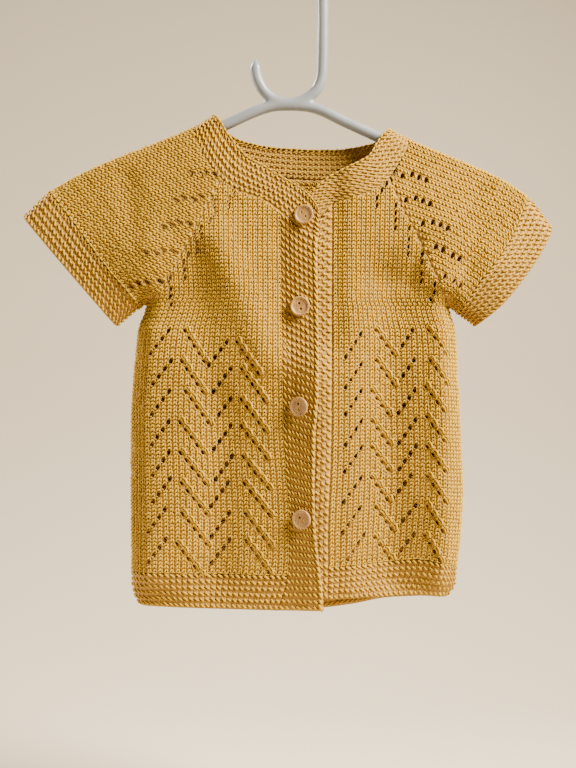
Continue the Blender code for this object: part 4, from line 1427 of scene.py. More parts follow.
@dataclass(frozen=True)
class Strand:
    """One visible length of yarn: rows of x, y, height and radius, closed to a point at both ends."""

    rows: tuple[tuple[float, float, float, float], ...]
    flatness: float = 0.86
    sides: int = 4

    def add_to(self, bm: bmesh.types.BMesh) -> None:
        """Adds the strand's faces, their strand map and how high each point crowns, as a mask for painted
        highlight on top and painted shade underneath and at the ends.

        Args:
            bm: the mesh that is being made.
        """
        uv_map, crown = bm.loops.layers.uv["Strand"], bm.verts.layers.float["crown"]
        path = np.array(self.rows)
        run = unit(np.gradient(path[:, :2], axis=0))
        rings = []
        for (x, y, height, radius), (dx, dy) in zip(self.rows, run):
            corners = self.sides if radius else 1
            ring = []
            for k in range(corners):
                turn = 2.0 * pi * k / self.sides
                out, side = radius * self.flatness * cos(turn), radius * sin(turn)
                point = bm.verts.new(((x - dy * side) * MM, (y + dx * side) * MM, (height + out) * MM))
                # Painted light mask: 1 on a ring's top for the painted highlight, 0 underneath and 0.1 at the
                # pointed ends for painted shade.
                point[crown] = 0.5 + 0.5 * cos(turn) if radius else 0.1
                ring.append(point)
            rings.append(ring)
        last = len(rings) - 1
        for k, (ring, after) in enumerate(zip(rings[:-1], rings[1:])):
            for side in range(self.sides):
                corners = [(ring[side % len(ring)], side, k), (ring[(side + 1) % len(ring)], side + 1, k),
                           (after[(side + 1) % len(after)], side + 1, k + 1),
                           (after[side % len(after)], side, k + 1)]
                kept = [c for i, c in enumerate(corners) if c[0] is not corners[i - 1][0]]
                face = bm.faces.new([c[0] for c in kept])
                face.smooth = True
                for loop, (_, around, step) in zip(face.loops, kept):
                    loop[uv_map].uv = (around / self.sides, step / last)


STITCHES: dict[Kind, tuple[Strand, ...]] = {
    Kind.KNIT: (
        Strand(((-1.40, -1.85, -0.60, 0.0), (-0.85, -0.90, 0.02, 0.66), (-0.05, 0.05, 0.24, 0.80),
                (0.70, 1.00, 0.00, 0.66), (1.10, 1.85, -0.60, 0.0))),
        Strand(((1.80, -2.00, -0.55, 0.0), (1.82, -1.05, -0.06, 0.50), (1.66, 0.0, 0.12, 0.58),
                (1.52, 1.05, -0.06, 0.50), (1.50, 2.00, -0.55, 0.0))),
    ),
    Kind.GARTER: (
        Strand(((-2.10, 0.46, -0.75, 0.0), (-1.62, 0.80, 0.02, 0.56), (-0.92, 0.76, 0.34, 0.72),
                (-0.26, 0.21, 0.20, 0.66), (0.26, -0.21, 0.20, 0.66), (0.92, -0.76, 0.34, 0.72),
                (1.62, -0.80, 0.02, 0.56), (2.10, -0.46, -0.75, 0.0))),
    ),
    Kind.CORD: (
        Strand(((-2.30, 3.10, -0.10, 0.0), (-1.60, 2.20, 0.60, 0.54), (-0.15, 1.60, 1.00, 0.66),
                (0.55, 0.30, 1.10, 0.70), (0.75, -1.15, 0.90, 0.66), (1.60, -2.20, 0.55, 0.54),
                (2.30, -3.00, -0.10, 0.0))),
        Strand(((-3.35, 1.90, -0.40, 0.0), (-2.60, 1.15, 0.10, 0.62), (-1.50, 0.10, 0.36, 0.82),
                (-0.45, -1.25, 0.32, 0.82), (0.35, -2.40, 0.10, 0.62), (1.05, -3.30, -0.40, 0.0))),
    ),
    Kind.CHAIN: (
        Strand(((-1.25, 2.95, -0.30, 0.0), (-1.05, 1.75, 0.30, 0.74), (-0.30, 0.45, 0.50, 0.92),
                (0.60, -0.95, 0.45, 0.90), (1.00, -2.10, 0.20, 0.70), (0.90, -2.95, -0.40, 0.0))),
    ),
    Kind.OPEN: (
        Strand(((-2.10, -1.90, -0.75, 0.0), (-1.95, -0.60, -0.25, 0.50), (-1.35, 0.85, -0.02, 0.56),
                (-0.20, 1.75, -0.05, 0.54), (0.90, 2.10, -0.70, 0.0)), sides=3),
        Strand(((-0.90, -2.10, -0.70, 0.0), (0.35, -1.70, -0.15, 0.48), (1.40, -0.75, -0.10, 0.52),
                (1.90, 0.50, -0.20, 0.48), (2.00, 1.70, -0.75, 0.0)), sides=3),
    ),
    Kind.SLIT: (
        Strand(((-2.00, 2.00, -0.75, 0.0), (-1.70, 0.90, -0.20, 0.52), (-0.95, -0.50, -0.05, 0.58),
                (0.20, -1.70, -0.15, 0.52), (1.20, -2.30, -0.75, 0.0)), sides=3),
    ),
    Kind.ROPE: (
        Strand(((-2.60, -0.35, -0.45, 0.0), (-1.45, -0.12, 0.40, 0.56), (0.00, 0.12, 0.62, 0.78),
                (1.45, 0.12, 0.40, 0.56), (2.60, 0.35, -0.45, 0.0))),
    ),
}
STITCHES[Kind.PLAIN] = tuple(replace(strand, sides=3) for strand in STITCHES[Kind.KNIT])


@dataclass
class Knitter:
    """Sets stitches on charts with Geometry Nodes and blocks them onto the garment.

    Attributes:
        uneven: how far a stitch may stray, in millimetres.
        turn: how far it may turn.
        swell: how much its size may vary.
    """

    yarn: Material
    ground: Material
    uneven: float = 0.19
    turn: float = radians(7.0)
    swell: float = 0.10
    seed: int = 7

    def __post_init__(self) -> None:
        """Makes the stitches and the tree that sets them."""
        self.stitches = bpy.data.collections.new("stitch_kinds")
        bpy.context.scene.collection.children.link(self.stitches)
        for kind in Kind:
            bm = bmesh.new()
            bm.loops.layers.uv.new("Strand")
            # The mask of painted highlight and painted shade on each strand.
            bm.verts.layers.float.new("crown")
            for strand in STITCHES[kind]:
                strand.add_to(bm)
            bmesh.ops.recalc_face_normals(bm, faces=bm.faces)
            mesh = bpy.data.meshes.new(f"stitch_{kind.value}")
            bm.to_mesh(mesh)
            bm.free()
            self.stitches.objects.link(bpy.data.objects.new(mesh.name, mesh))
        self.tree = self._tree()

    @staticmethod
    def _tree() -> NodeTree:
        """The Geometry Nodes tree: points in, one mesh of stitches out.

        Returns:
            The tree.
        """
        tree, given, result = new_tree("set_stitches", "GeometryNodeTree", (
            ("Points", "NodeSocketGeometry"), ("Stitches", "NodeSocketCollection"), ("Uneven", "NodeSocketFloat"),
            ("Turn", "NodeSocketFloat"), ("Swell", "NodeSocketFloat"), ("Seed", "NodeSocketInt"),
            ("Yarn", "NodeSocketMaterial")), (("Fabric", "NodeSocketGeometry"),))
        given_as = given.outputs

        def either_way(socket: NodeSocket, seed: int, middle: float = 0.0) -> NodeSocket:
            """A random number from middle less the socket's value to middle plus it.

            Args:
                socket: the output with the value.
                seed: the draw's own seed.
                middle: the middle.

            Returns:
                The output with the number.
            """
            value = add_node(tree, "FunctionNodeRandomValue", {
                "Min": maths(tree, "SUBTRACT", middle, socket), "Max": maths(tree, "ADD", middle, socket),
                "Seed": maths(tree, "ADD", given_as["Seed"], float(seed))}, data_type="FLOAT")
            return output(value, "Value")

        shift = add_node(tree, "ShaderNodeCombineXYZ", {0: either_way(given_as["Uneven"], 1),
                                                        1: either_way(given_as["Uneven"], 2),
                                                        2: either_way(given_as["Uneven"], 3)})
        moved = add_node(tree, "GeometryNodeSetPosition", {"Geometry": given_as["Points"],
                                                           "Offset": shift.outputs[0]})
        kinds = add_node(tree, "GeometryNodeCollectionInfo", {"Collection": given_as["Stitches"],
                                                              "Separate Children": True, "Reset Children": True})
        kind = add_node(tree, "GeometryNodeInputNamedAttribute", {"Name": "kind"}, data_type="INT")
        lean = add_node(tree, "GeometryNodeInputNamedAttribute", {"Name": "lean"}, data_type="FLOAT")
        size = add_node(tree, "GeometryNodeInputNamedAttribute", {"Name": "size"}, data_type="FLOAT_VECTOR")
        angle = maths(tree, "ADD", output(lean, "Attribute"), either_way(given_as["Turn"], 4))
        euler = add_node(tree, "ShaderNodeCombineXYZ", {2: angle})
        rotation = add_node(tree, "FunctionNodeEulerToRotation", {0: euler.outputs[0]})
        scale = add_node(tree, "ShaderNodeVectorMath", {0: output(size, "Attribute"),
                                                        "Scale": either_way(given_as["Swell"], 5, 1.0)},
                         operation="SCALE")
        on_points = add_node(tree, "GeometryNodeInstanceOnPoints", {
            "Points": moved.outputs[0], "Instance": kinds.outputs[0], "Pick Instance": True,
            "Instance Index": output(kind, "Attribute"), "Rotation": rotation.outputs[0],
            "Scale": scale.outputs[0]})
        real = add_node(tree, "GeometryNodeRealizeInstances", {"Geometry": on_points.outputs[0]})
        dressed = add_node(tree, "GeometryNodeSetMaterial", {"Geometry": real.outputs[0],
                                                             "Material": given_as["Yarn"]})
        tree.links.new(dressed.outputs[0], result.inputs[0])
        return tree

    @staticmethod
    def _points(chart: Chart, number: int, first: float, last: float) -> dict[str, Array]:
        """The chart's stitches between two shares of its rows: place, kind, lean, size and chart.

        Args:
            chart: the chart.
            number: its number among its piece's charts.
            first: the share of the rows where they start.
            last: the share where they end.

        Returns:
            A value for each stitch, by name.
        """
        cells = chart.cells(first, last)
        plain = Kind.PLAIN if chart.plain else Kind.KNIT
        kinds = np.full(len(cells), (Kind.GARTER if chart.garter else plain).value)
        lean = np.zeros(len(cells))
        if chart.chain:
            kinds[cells[:, 0] > chart.columns - 1] = Kind.CHAIN.value
        for u, v, drift in chart.eyelets:
            if drift:
                off = (cells - (u, v)) / BESIDE_REACH
                near = np.exp(-(off[:, 0] ** 2 + off[:, 1] ** 2))
                lean += near * BESIDE_LEAN * drift
        size = np.ones((len(cells), 3))
        size[:, 0] = chart.cell[0] / STITCH
        if chart.garter:
            size[:, 1] = chart.fullness * chart.cell[1] / RIDGE
        sunk = np.zeros(len(cells))
        for u, v, drift in chart.eyelets:
            if drift > 0:
                off = (cells - (u, v) - SLIT_MIDDLE) / SLIT_REACH
                sunk += np.exp(-(off[:, 0] ** 2 + off[:, 1] ** 2))
        extra = [(u, v, Kind.SLIT if drift > 0 else Kind.OPEN, 1.0) for u, v, drift in chart.eyelets]
        extra += [(u, v, Kind.CORD, 1.0) for u, v in chart.cords]
        if chart.rope and last == 1.0:
            extra += [(k + 0.5, chart.rows - 0.02, Kind.ROPE, chart.rope) for k in range(chart.columns)]
        extra = [row for row in extra if first * chart.rows <= row[1] < last * chart.rows]
        if extra:
            cells = np.vstack([cells, [row[:2] for row in extra]])
            kinds = np.concatenate([kinds, [row[2].value for row in extra]])
            lean = np.concatenate([lean, np.zeros(len(extra))])
            sunk = np.concatenate([sunk, np.zeros(len(extra))])
            size = np.vstack([size, [(1.0, row[3], row[3]) for row in extra]])
        place = np.column_stack([cells * chart.cell, -SLIT_DEPTH * np.minimum(sunk, 1.0)]) * MM
        return {"place": place, "kind": kinds, "lean": lean, "size": size,
                "chart": np.full(len(cells), number)}

    def stitched(self, name: str, charts: Sequence[Chart], side: Side = Side.OUTER, first: float = 0.0,
                 last: float = 1.0) -> Object:
        """Knits the charts as one piece of strands on the garment.

        Args:
            name: the piece's name.
            charts: its charts.
            side: the face of the cloth that the strands stand on.
            first: the share of the rows where it starts, last: where it ends.

        Returns:
            The piece.
        """
        parts = [self._points(chart, k, first, last) for k, chart in enumerate(charts)]
        joined = {key: np.concatenate([part[key] for part in parts]) for key in parts[0]}
        mesh = bpy.data.meshes.new(name)
        mesh.vertices.add(len(joined["place"]))
        mesh.vertices.foreach_set("co", joined["place"].astype(np.float32).ravel())
        for key, kind, entry in (("kind", "INT", "value"), ("chart", "INT", "value"),
                                 ("lean", "FLOAT", "value"), ("size", "FLOAT_VECTOR", "vector")):
            values = joined[key].astype(np.int32 if kind == "INT" else np.float32).ravel()
            mesh.attributes.new(key, kind, "POINT").data.foreach_set(entry, values)
        piece = link(name, mesh)
        modifier = piece.modifiers.new("Knit", "NODES")
        modifier.node_group = self.tree
        set_inputs(modifier, {"Stitches": self.stitches, "Uneven": self.uneven * MM, "Turn": self.turn,
                              "Swell": self.swell, "Seed": self.seed, "Yarn": self.yarn})
        baked(piece)
        self._block(piece.data, charts, side)
        return piece

    @staticmethod
    def _block(mesh: Mesh, charts: Sequence[Chart], side: Side) -> None:
        """Moves flat stitches onto the garment.

        Args:
            mesh: the flat stitches.
            charts: the charts that they belong to.
            side: the face of the cloth that they stand on.
        """
        count = len(mesh.vertices)
        flat, number = np.empty(count * 3, np.float32), np.empty(count, np.int32)
        mesh.vertices.foreach_get("co", flat)
        mesh.attributes["chart"].data.foreach_get("value", number)
        flat = flat.reshape(-1, 3).astype(float) / MM
        placed = np.empty_like(flat)
        for k, chart in enumerate(charts):
            mine = number == k
            u, v = chart.opened(flat[mine, 0] / chart.cell[0], flat[mine, 1] / chart.cell[1])
            height = flat[mine, 2] - LOOP_SINK
            if side is Side.INNER:
                height = -CLOTH_WALL - height
            placed[mine] = chart.at(u, v, height)
        mesh.vertices.foreach_set("co", (placed * MM).astype(np.float32).ravel())
        for key in ("chart", "kind", "lean", "size"):
            if key in mesh.attributes:
                mesh.attributes.remove(mesh.attributes[key])
        if side is Side.INNER:
            mesh.flip_normals()
        mesh.update()

    def ground_cloth(self, name: str, charts: Sequence[Chart]) -> Object:
        """The thin cloth under the strands, with its eyelets open and its wall given.

        Args:
            name: the piece's name.
            charts: its charts.

        Returns:
            The piece.
        """
        bm = bmesh.new()
        chart_map = bm.loops.layers.uv.new("Chart")
        for chart in charts:
            places, cells, faces = chart.ground()
            points = [bm.verts.new(place * MM) for place in places]
            for face in faces:
                made = bm.faces.new([points[k] for k in face])
                made.smooth = True
                for loop, k in zip(made.loops, face):
                    loop[chart_map].uv = cells[k]
        bmesh.ops.remove_doubles(bm, verts=bm.verts, dist=WELD * MM)
        bmesh.ops.dissolve_degenerate(bm, edges=bm.edges, dist=WELD * MM)
        loose = [point for point in bm.verts if not point.link_faces]
        bmesh.ops.delete(bm, geom=loose, context="VERTS")
        mesh = bpy.data.meshes.new(name)
        bm.to_mesh(mesh)
        bm.free()
        # Its finish is painted shade in the gaps between the strands.
        mesh.materials.append(self.ground)
        piece = link(name, mesh)
        wall = piece.modifiers.new("Wall", "SOLIDIFY")
        wall.thickness = GROUND_WALL * MM
        wall.offset = -1.0
        return baked(piece)

    def finish(self) -> None:
        """Takes the loose stitches out of the scene."""
        for part in list(self.stitches.objects):
            bpy.data.objects.remove(part)
        bpy.data.collections.remove(self.stitches)


@dataclass
class KnitPiece:
    """One knitted piece of the garment: its ground cloth and the strands on it.

    Attributes:
        node: the solid that it stands for.
        charts: its charts, one for each half of a sleeve.
        lengths: how many pieces of strands it is made in, from its lower edge up.
        inner: the share of its rows from which strands are also set on the inner face, or None.
    """

    node: str
    charts: list[Chart]
    lengths: int = 1
    inner: float | None = None

    def flat(self) -> tuple[tuple[float, float], float]:
        """Width and length of the cut in metres, and its area in square metres.

        Returns:
            The two sides and the area.
        """
        width = sum(chart.columns * chart.cell[0] for chart in self.charts) * MM
        length = max(chart.rows * chart.cell[1] for chart in self.charts) * MM
        area = sum((len(c.cells()) + len(c.eyelets)) * c.cell[0] * c.cell[1] for c in self.charts) * MM * MM
        return (width, length), min(area, width * length)

    def build(self, knitter: Knitter) -> None:
        """Args:
            knitter: what sets its stitches.
        """
        ground = knitter.ground_cloth(f"{self.node}_cloth", self.charts)
        bounds = np.linspace(0.0, 1.0, self.lengths + 1)
        strands = [knitter.stitched(f"{self.node}_stitches_{k + 1}", self.charts, Side.OUTER, *pair)
                   for k, pair in enumerate(zip(bounds[:-1], bounds[1:]))]
        if self.inner is not None:
            strands.append(knitter.stitched(f"{self.node}_inside", self.charts, Side.INNER, self.inner))
        for piece in (ground, *strands):
            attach(piece, "root")
        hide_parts(self.node)
        flat, area = self.flat()
        count = sum(len(piece.data.polygons) for piece in (ground, *strands))
        log.info("%s: %.0f x %.0f mm flat, %d faces", self.node, flat[0] / MM, flat[1] / MM, count)


@dataclass
class Vest:
    """The whole knitted garment."""

    patterns: Patterns

    def pieces(self) -> list[KnitPiece]:
        """The knitted pieces in the order of making, named for the wearer's sides.

        Returns:
            The pieces.
        """
        draw = self.patterns
        gap_end = neck_edge(NECK_LEFT, True, 5)
        under_end = neck_edge(NECK_RIGHT, True, 5)[::-1]
        return [
            KnitPiece("back", [draw.back()], lengths=2, inner=0.88),
            KnitPiece("right_front", [draw.front(True)]),
            KnitPiece("left_front", [draw.front(False)]),
            KnitPiece("right_sleeve", [draw.sleeve_half(True, Layer.FRONT), draw.sleeve_half(True, Layer.BACK)]),
            KnitPiece("left_sleeve", [draw.sleeve_half(False, Layer.FRONT), draw.sleeve_half(False, Layer.BACK)]),
            KnitPiece("right_cuff", [draw.cuff(True)], inner=0.0),
            KnitPiece("left_cuff", [draw.cuff(False)], inner=0.0),
            KnitPiece("neckband", [draw.neckband()], inner=0.0),
            KnitPiece("buttonhole_band", [draw.front_band(BUTTONHOLE_LEFT, BUTTONHOLE_RIGHT, gap_end,
                                                          Layer.FRONT, True)]),
            KnitPiece("button_band", [draw.front_band(BUTTON_BAND_LEFT, BUTTON_BAND_RIGHT, under_end,
                                                      Layer.UNDER, False)]),
            KnitPiece("right_front_hem", [draw.hem(LEFT_HEM_TOP, LEFT_HEM_EDGE, Layer.FRONT,
                                                   BUTTONHOLE_LEFT, True)], inner=0.0),
            KnitPiece("left_front_hem", [draw.hem(RIGHT_HEM_TOP, RIGHT_HEM_EDGE, Layer.UNDER,
                                                  BUTTON_BAND_RIGHT, False)], inner=0.0),
            KnitPiece("back_hem", [draw.hem(BACK_HEM_TOP, BACK_HEM_EDGE, Layer.BACK)], inner=0.0),
        ]

    def build(self, knitter: Knitter) -> None:
        """Knits every piece.

        Args:
            knitter: what sets their stitches.
        """
        for piece in self.pieces():
            piece.build(knitter)
        knitter.finish()


@dataclass(frozen=True)
class WoodFinish:
    """Pale turned wood with fine growth lines."""

    light: Colour = (0.44, 0.230, 0.058, 1.0)
    dark: Colour = (0.25, 0.118, 0.026, 1.0)
    roughness: float = 0.5
    polish: float = 0.06

    def material(self) -> Material:
        """Makes the wood. Its grain runs through all the buttons.

        Returns:
            The material.
        """
        material, tree, shader = new_material("button_wood")
        place = add_node(tree, "ShaderNodeTexCoord")
        stretch = add_node(tree, "ShaderNodeMapping", {"Vector": place.outputs["Object"],
                                                       "Rotation": (0.0, radians(24.0), 0.0),
                                                       "Scale": (1.0, 0.25, 0.22)})
        grain = noise(tree, stretch.outputs[0], 1500.0, 4.0, Distortion=0.4)
        broad = noise(tree, stretch.outputs[0], 380.0, 2.0)
        colour = blend_colour(tree, mapped(tree, grain, {1: 0.38, 2: 0.62}), self.dark, self.light)
        wide = mapped(tree, broad, {1: 0.35, 2: 0.65, 3: 0.0, 4: 0.55})
        colour = blend_colour(tree, wide, colour, self.light)
        bump = add_node(tree, "ShaderNodeBump", {"Height": grain, "Distance": 0.0002, "Strength": 0.35})
        finish_shader(tree, shader, colour, bump, Roughness=self.roughness, Coat_Weight=self.polish)
        return material


@dataclass
class Button:
    """A turned wooden button with a raised rim, a dished face and two sewing holes."""

    number: int
    row: ButtonRow
    form: Form
    radius: float = 7.0
    height: float = 2.6
    rim: float = 1.5
    dish: float = 0.9
    hole: float = 0.85
    pitch: float = 4.0
    seat: float = 0.4
    tilt_inset: float = 1.3
    probe: float = 1.5
    segments: int = 56
    drill_sides: int = 20

    def _profile(self) -> list[tuple[float, float]]:
        """Radius and height from the middle of the face, over the rim, to the middle of the back.

        Returns:
            The profile's points.
        """
        face, top, rim = self.height - self.dish, self.height, self.radius - self.rim
        steps = [(0.0, face), (1.6, face), (3.2, face), (rim - 0.7, face + 0.02), (rim - 0.25, face + 0.18)]
        steps += [(rim + 0.10, top - 0.22), (rim + 0.40, top - 0.03), (self.radius - 0.75, top)]
        steps += [(self.radius - 0.32, top - 0.12), (self.radius - 0.06, top - 0.45), (self.radius, top - 0.9)]
        steps += [(self.radius - 0.12, top - 1.5), (self.radius - 0.7, 0.25)]
        return steps + [(self.radius - 1.4, 0.0), (0.0, 0.0)]

    def _turned(self) -> Mesh:
        """The disc without its holes, facing +Z.

        Returns:
            The mesh.
        """
        bm = bmesh.new()
        rings = []
        for r, z in self._profile():
            count = self.segments if r else 1
            rings.append([bm.verts.new((r * MM * cos(2 * pi * k / self.segments),
                                        r * MM * sin(2 * pi * k / self.segments), z * MM)) for k in range(count)])
        for ring, after in zip(rings[:-1], rings[1:]):
            for k in range(self.segments):
                corners = [ring[k % len(ring)], after[k % len(after)], after[(k + 1) % len(after)],
                           ring[(k + 1) % len(ring)]]
                kept = [c for i, c in enumerate(corners) if c is not corners[i - 1]]
                bm.faces.new(kept).smooth = True
        bmesh.ops.recalc_face_normals(bm, faces=bm.faces)
        mesh = bpy.data.meshes.new(f"button_{self.number}_turned")
        bm.to_mesh(mesh)
        bm.free()
        return mesh

    def _seat(self) -> Matrix:
        """Where the button sits on the band and how it is turned.

        Returns:
            The matrix that seats it.
        """
        step, x, z = self.probe, self.row.x, self.row.z
        around = np.array([[x - step, z], [x + step, z], [x, z - step], [x, z + step]])
        p = self.form.place(around, Layer.FRONT)
        normal = Vector(unit(np.cross(p[1] - p[0], p[3] - p[2])))
        lift = self.seat + (self.radius - self.tilt_inset) * abs(sin(radians(self.row.turn)))
        place = Vector(self.form.place(np.array([x, z]), Layer.FRONT)) + normal * lift
        face = normal.to_track_quat("Z", "Y").to_matrix().to_4x4()
        turn = Matrix.Rotation(radians(self.row.turn), 4, "Z")
        spin = Matrix.Rotation(radians(self.row.spin), 4, "Z")
        return Matrix.Translation(place * MM) @ turn @ face @ spin

    def build(self, wood: Material) -> None:
        """Turns and drills the button and seats it.

        Args:
            wood: the buttons' material.
        """
        piece = link(f"button_{self.number}_turned", self._turned())
        piece.data.materials.append(wood)
        cutters = []
        for x in (-self.pitch / 2, self.pitch / 2):
            bpy.ops.mesh.primitive_cylinder_add(vertices=self.drill_sides, radius=self.hole * MM,
                                                depth=8 * self.height * MM, location=(x * MM, 0.0, 0.0))
            cutters.append(bpy.context.object)
            cut = piece.modifiers.new("Hole", "BOOLEAN")
            cut.object = cutters[-1]
            cut.operation = "DIFFERENCE"
        baked(piece)
        for cutter in cutters:
            bpy.data.objects.remove(cutter)
        piece.data.transform(self._seat())
        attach(piece, "root")
        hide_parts(f"button_{self.number}")
        log.info("button %d: %d faces", self.number, len(piece.data.polygons))


@dataclass(frozen=True)
class PlasticFinish:
    """Smooth light grey moulded plastic with faint scuffs."""

    colour: Colour = (0.24, 0.243, 0.25, 1.0)
    roughness: float = 0.36

    def material(self) -> Material:
        """Makes the plastic.

        Returns:
            The material.
        """
        material, tree, shader = new_material("hanger_plastic")
        place = add_node(tree, "ShaderNodeTexCoord")
        haze = noise(tree, place.outputs["Object"], 70.0, 5.0)
        scuff = noise(tree, place.outputs["Object"], 900.0, 3.0)
        rough = mapped(tree, haze, {1: 0.3, 2: 0.7, 3: self.roughness - 0.06, 4: self.roughness + 0.1})
        tone = mapped(tree, haze, {1: 0.3, 2: 0.7, 3: 0.0, 4: 1.0})
        darker = tuple(0.9 * c for c in self.colour[:3]) + (1.0,)
        colour = blend_colour(tree, tone, darker, self.colour)
        bump = add_node(tree, "ShaderNodeBump", {"Height": scuff, "Distance": 0.00005, "Strength": 0.4})
        finish_shader(tree, shader, colour, bump)
        tree.links.new(rough, shader.inputs["Roughness"])
        return material


@dataclass
class Hanger:
    """The moulded hanger: a hook that runs down into a swan neck, and arms fused under it."""

    tube_radius: float = 4.2
    hook_radius: float = 20.2
    voxel: float = 1.45
    sides: int = 28
    soften: float = 0.5
    soften_rounds: int = 6
    nub_neck_rise: float = 4.3
    nub_neck_share: float = 0.24
    nub: Line = ((0.5, 0.42), (1.3, 0.50), (2.1, 0.40), (2.5, 0.20))
    stem: Line = (
        (20.2, -40.0), (19.8, -66.0), (19.2, -75.0), (17.0, -82.0), (13.0, -87.4), (5.6, -92.4),
        (-4.3, -94.5), (-14.4, -92.2), (-21.6, -86.8), (-26.0, -79.8), (-28.2, -73.0), (-28.4, -69.0),
    )
    arms: Line = (
        (-139.0, -146.8), (-116.6, -136.4), (-94.0, -127.9), (-72.7, -119.5), (-51.1, -110.6),
        (-23.0, -98.4), (-5.0, -96.0), (14.8, -98.2), (36.0, -107.9), (60.5, -119.0),
        (82.1, -128.0), (104.4, -137.4), (124.0, -147.4), (137.0, -154.2),
    )

    def _domed(self, line: list[tuple[float, float]]) -> list[tuple[float, float, float]]:
        """A centre line with its share of the radius at each point, domed at both ends.

        Args:
            line: x and z of the centre line.

        Returns:
            X, z and share of the radius at each point.
        """
        rows = [(x, z, 1.0) for x, z in line]
        for end, before in ((0, 1), (-1, -2)):
            tip = np.array(line[end])
            out = unit(tip - np.array(line[before])) * self.tube_radius
            dome = [(*(tip + out * sin(radians(a))), cos(radians(a))) for a in (20, 38, 54, 67, 78)]
            rows = dome[::-1] + rows if end == 0 else rows + dome
        return rows

    def _lines(self) -> list[list[tuple[float, float, float]]]:
        """The two centre lines with their shares of the radius.

        Returns:
            The hook's line, then the arms'.
        """
        turn = np.linspace(pi, 0.0, 28)
        hook = [(self.hook_radius * cos(a), self.tube_radius - self.hook_radius + self.hook_radius * sin(a))
                for a in turn]
        hook += [tuple(p) for p in smooth_curve(self.stem)]
        rows = self._domed(hook)
        tip_x, tip_z = hook[-1]
        rows[-1] = (tip_x, tip_z + self.nub_neck_rise, self.nub_neck_share)
        rows += [(tip_x, tip_z + self.nub_neck_rise + rise, share) for rise, share in self.nub]
        return [rows, self._domed([tuple(p) for p in smooth_curve(self.arms)])]

    @staticmethod
    def _tree() -> NodeTree:
        """The Geometry Nodes tree: lines in, round tubes out.

        Returns:
            The tree.
        """
        tree, given, result = new_tree("tube_on_line", "GeometryNodeTree", (
            ("Lines", "NodeSocketGeometry"), ("Radius", "NodeSocketFloat"), ("Sides", "NodeSocketInt"),
            ("Finish", "NodeSocketMaterial")), (("Tube", "NodeSocketGeometry"),))
        share = add_node(tree, "GeometryNodeInputNamedAttribute", {"Name": "share"}, data_type="FLOAT")
        thick = maths(tree, "MULTIPLY", output(share, "Attribute"), given.outputs["Radius"])
        curve = add_node(tree, "GeometryNodeMeshToCurve", {"Mesh": given.outputs["Lines"]})
        sized = add_node(tree, "GeometryNodeSetCurveRadius", {"Curve": curve.outputs[0], "Radius": thick})
        ring = add_node(tree, "GeometryNodeCurvePrimitiveCircle", {"Resolution": given.outputs["Sides"],
                                                                   "Radius": 1.0})
        swept = add_node(tree, "GeometryNodeCurveToMesh", {"Curve": sized.outputs[0],
                                                           "Profile Curve": ring.outputs[0], "Fill Caps": True})
        if "Scale" in swept.inputs:
            tree.links.new(thick, swept.inputs["Scale"])
        real = add_node(tree, "GeometryNodeRealizeInstances", {"Geometry": swept.outputs[0]})
        dressed = add_node(tree, "GeometryNodeSetMaterial", {"Geometry": real.outputs[0],
                                                             "Material": given.outputs["Finish"]})
        tree.links.new(dressed.outputs[0], result.inputs[0])
        return tree

    def build(self, plastic: Material) -> None:
        """Sweeps both tubes and fuses them with a soft fillet.

        Args:
            plastic: its material.
        """
        places, edges, shares = [], [], []
        for rows in self._lines():
            start = len(places)
            places += [(x * MM, 0.0, z * MM) for x, z, _ in rows]
            shares += [share for _, _, share in rows]
            edges += [(start + k, start + k + 1) for k in range(len(rows) - 1)]
        mesh = bpy.data.meshes.new("hanger_moulded")
        mesh.from_pydata(places, edges, [])
        mesh.attributes.new("share", "FLOAT", "POINT").data.foreach_set("value", shares)
        piece = link("hanger_moulded", mesh)
        modifier = piece.modifiers.new("Tube", "NODES")
        modifier.node_group = self._tree()
        set_inputs(modifier, {"Radius": self.tube_radius * MM, "Sides": self.sides, "Finish": plastic})
        fuse = piece.modifiers.new("Fuse", "REMESH")
        fuse.mode = "VOXEL"
        fuse.voxel_size = self.voxel * MM
        fuse.use_smooth_shade = True
        soften = piece.modifiers.new("Soften", "SMOOTH")
        soften.factor = self.soften
        soften.iterations = self.soften_rounds
        baked(piece)
        piece.data.materials.clear()
        piece.data.materials.append(plastic)
        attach(piece, "root")
        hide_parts("hanger")
        log.info("hanger: %d faces", len(piece.data.polygons))


class LightRow(NamedTuple):
    """A square light: its name, place, side in metres, power in watts and colour."""

    name: str
    place: Point
    size: float
    power: float
    colour: Point


BEAM_SPREAD = radians(80.0)
LIGHTS = (
    LightRow("key", (1.08, -0.58, 0.70), 0.60, 31.0, (1.0, 0.95, 0.84)),
    LightRow("fill", (-0.9, -1.9, 0.1), 1.3, 0.8, (1.0, 0.92, 0.80)),
    LightRow("back", (-0.80, 0.62, 0.40), 0.50, 9.0, (1.0, 0.95, 0.86)),
    LightRow("rim", (-1.35, 0.12, -0.15), 0.8, 5.0, (1.0, 0.93, 0.82)),
)


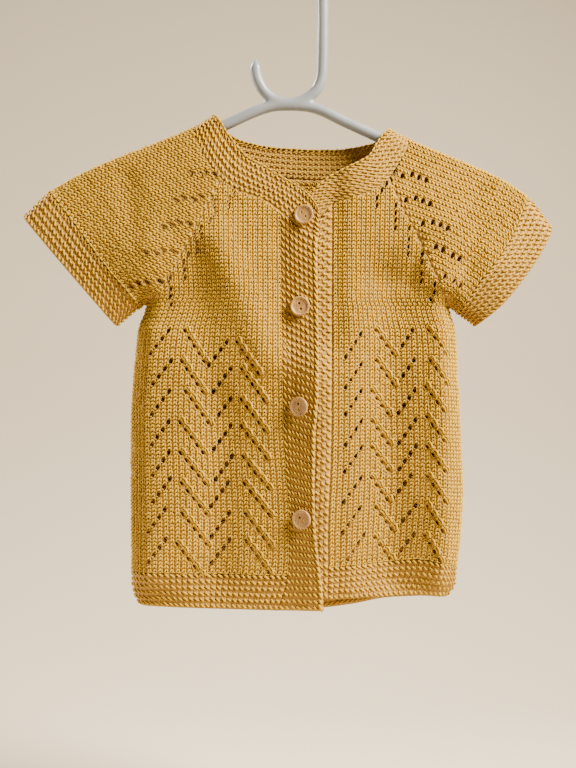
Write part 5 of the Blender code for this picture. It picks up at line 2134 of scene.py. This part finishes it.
@dataclass
class Studio:
    """A pale floor that sweeps up behind, soft light from the front right, and the camera."""

    floor_z: float = -0.62
    wall_y: float = 0.75
    sweep_radius: float = 0.35
    half_width: float = 4.0
    middle: tuple[float, float] = (-0.00504, -0.29664)
    distance: float = 1.075
    lens: float = 70.0
    aim: Point = (0.0, 0.0, -0.28)
    room: Colour = (1.0, 0.95, 0.87, 1.0)
    room_strength: float = 0.07
    paint: tuple[Colour, Colour] = ((0.62, 0.53, 0.39, 1.0), (0.66, 0.57, 0.425, 1.0))
    paint_roughness: float = 0.8

    def _floor(self) -> None:
        """The floor, its sweep and the wall as one sheet, which shows from its lit side only."""
        line = [(-12.0, self.floor_z)]
        for a in np.linspace(-0.5 * pi, 0.0, 16):
            line.append((self.wall_y - self.sweep_radius + self.sweep_radius * cos(a),
                         self.floor_z + self.sweep_radius + self.sweep_radius * sin(a)))
        line.append((self.wall_y, 3.5))
        places = [(x, y, z) for y, z in line for x in (-self.half_width, self.half_width)]
        faces = [(2 * k, 2 * k + 1, 2 * k + 3, 2 * k + 2) for k in range(len(line) - 1)]
        mesh = bpy.data.meshes.new("floor")
        mesh.from_pydata(places, [], faces)
        mesh.shade_smooth()
        material, tree, shader = new_material("floor_paint")
        place = add_node(tree, "ShaderNodeTexCoord")
        colour = blend_colour(tree, noise(tree, place.outputs["Object"], 3.0, 3.0), *self.paint)
        finish_shader(tree, shader, colour, None, Roughness=self.paint_roughness)
        face = add_node(tree, "ShaderNodeNewGeometry")
        clear = add_node(tree, "ShaderNodeBsdfTransparent")
        one_sided = add_node(tree, "ShaderNodeMixShader", {0: face.outputs["Backfacing"], 1: shader.outputs[0],
                                                           2: clear.outputs[0]})
        tree.links.new(one_sided.outputs[0], tree.nodes["Material Output"].inputs["Surface"])
        mesh.materials.append(material)
        link("floor", mesh)

    def _light(self, row: LightRow) -> None:
        """One soft square light that points at the garment.

        Args:
            row: the light.
        """
        lamp = bpy.data.lights.new(row.name, "AREA")
        lamp.size, lamp.energy, lamp.color, lamp.spread = row.size, row.power, row.colour, BEAM_SPREAD
        holder = link(row.name, lamp)
        holder.location = row.place
        holder.rotation_euler = (Vector(self.aim) - Vector(row.place)).to_track_quat("-Z", "Y").to_euler()

    def build(self) -> None:
        """Sets up the floor, the lights, the surroundings and the camera."""
        self._floor()
        for row in LIGHTS:
            self._light(row)
        world = bpy.data.worlds.new("pale_room")
        world.use_nodes = True
        backdrop = world.node_tree.nodes["Background"]
        backdrop.inputs["Color"].default_value = self.room
        backdrop.inputs["Strength"].default_value = self.room_strength
        bpy.context.scene.world = world
        camera = bpy.data.cameras.new("camera")
        camera.lens = self.lens
        holder = link("camera", camera)
        holder.location = (self.middle[0], -self.distance, self.middle[1])
        holder.rotation_euler = (0.5 * pi, 0.0, 0.0)
        bpy.context.scene.camera = holder
        log.info("studio: camera %.3f m away", self.distance)


def main() -> None:
    """Builds every sub-assembly in order."""
    logging.basicConfig(level=logging.INFO, format="%(name)s: %(message)s")
    Studio().build()
    form = Form.of_vest()
    twist, cloud = Shading.ply_twist(), Shading.cloud()
    yarn = YarnFinish().material(twist, cloud)
    Hanger().build(PlasticFinish().material())
    Vest(Patterns(form)).build(Knitter(yarn, GroundFinish().material(cloud)))
    wood = WoodFinish().material()
    for number, row in enumerate(BUTTONS, 1):
        Button(number, row, form).build(wood)


if __name__ == "__main__":
    main()
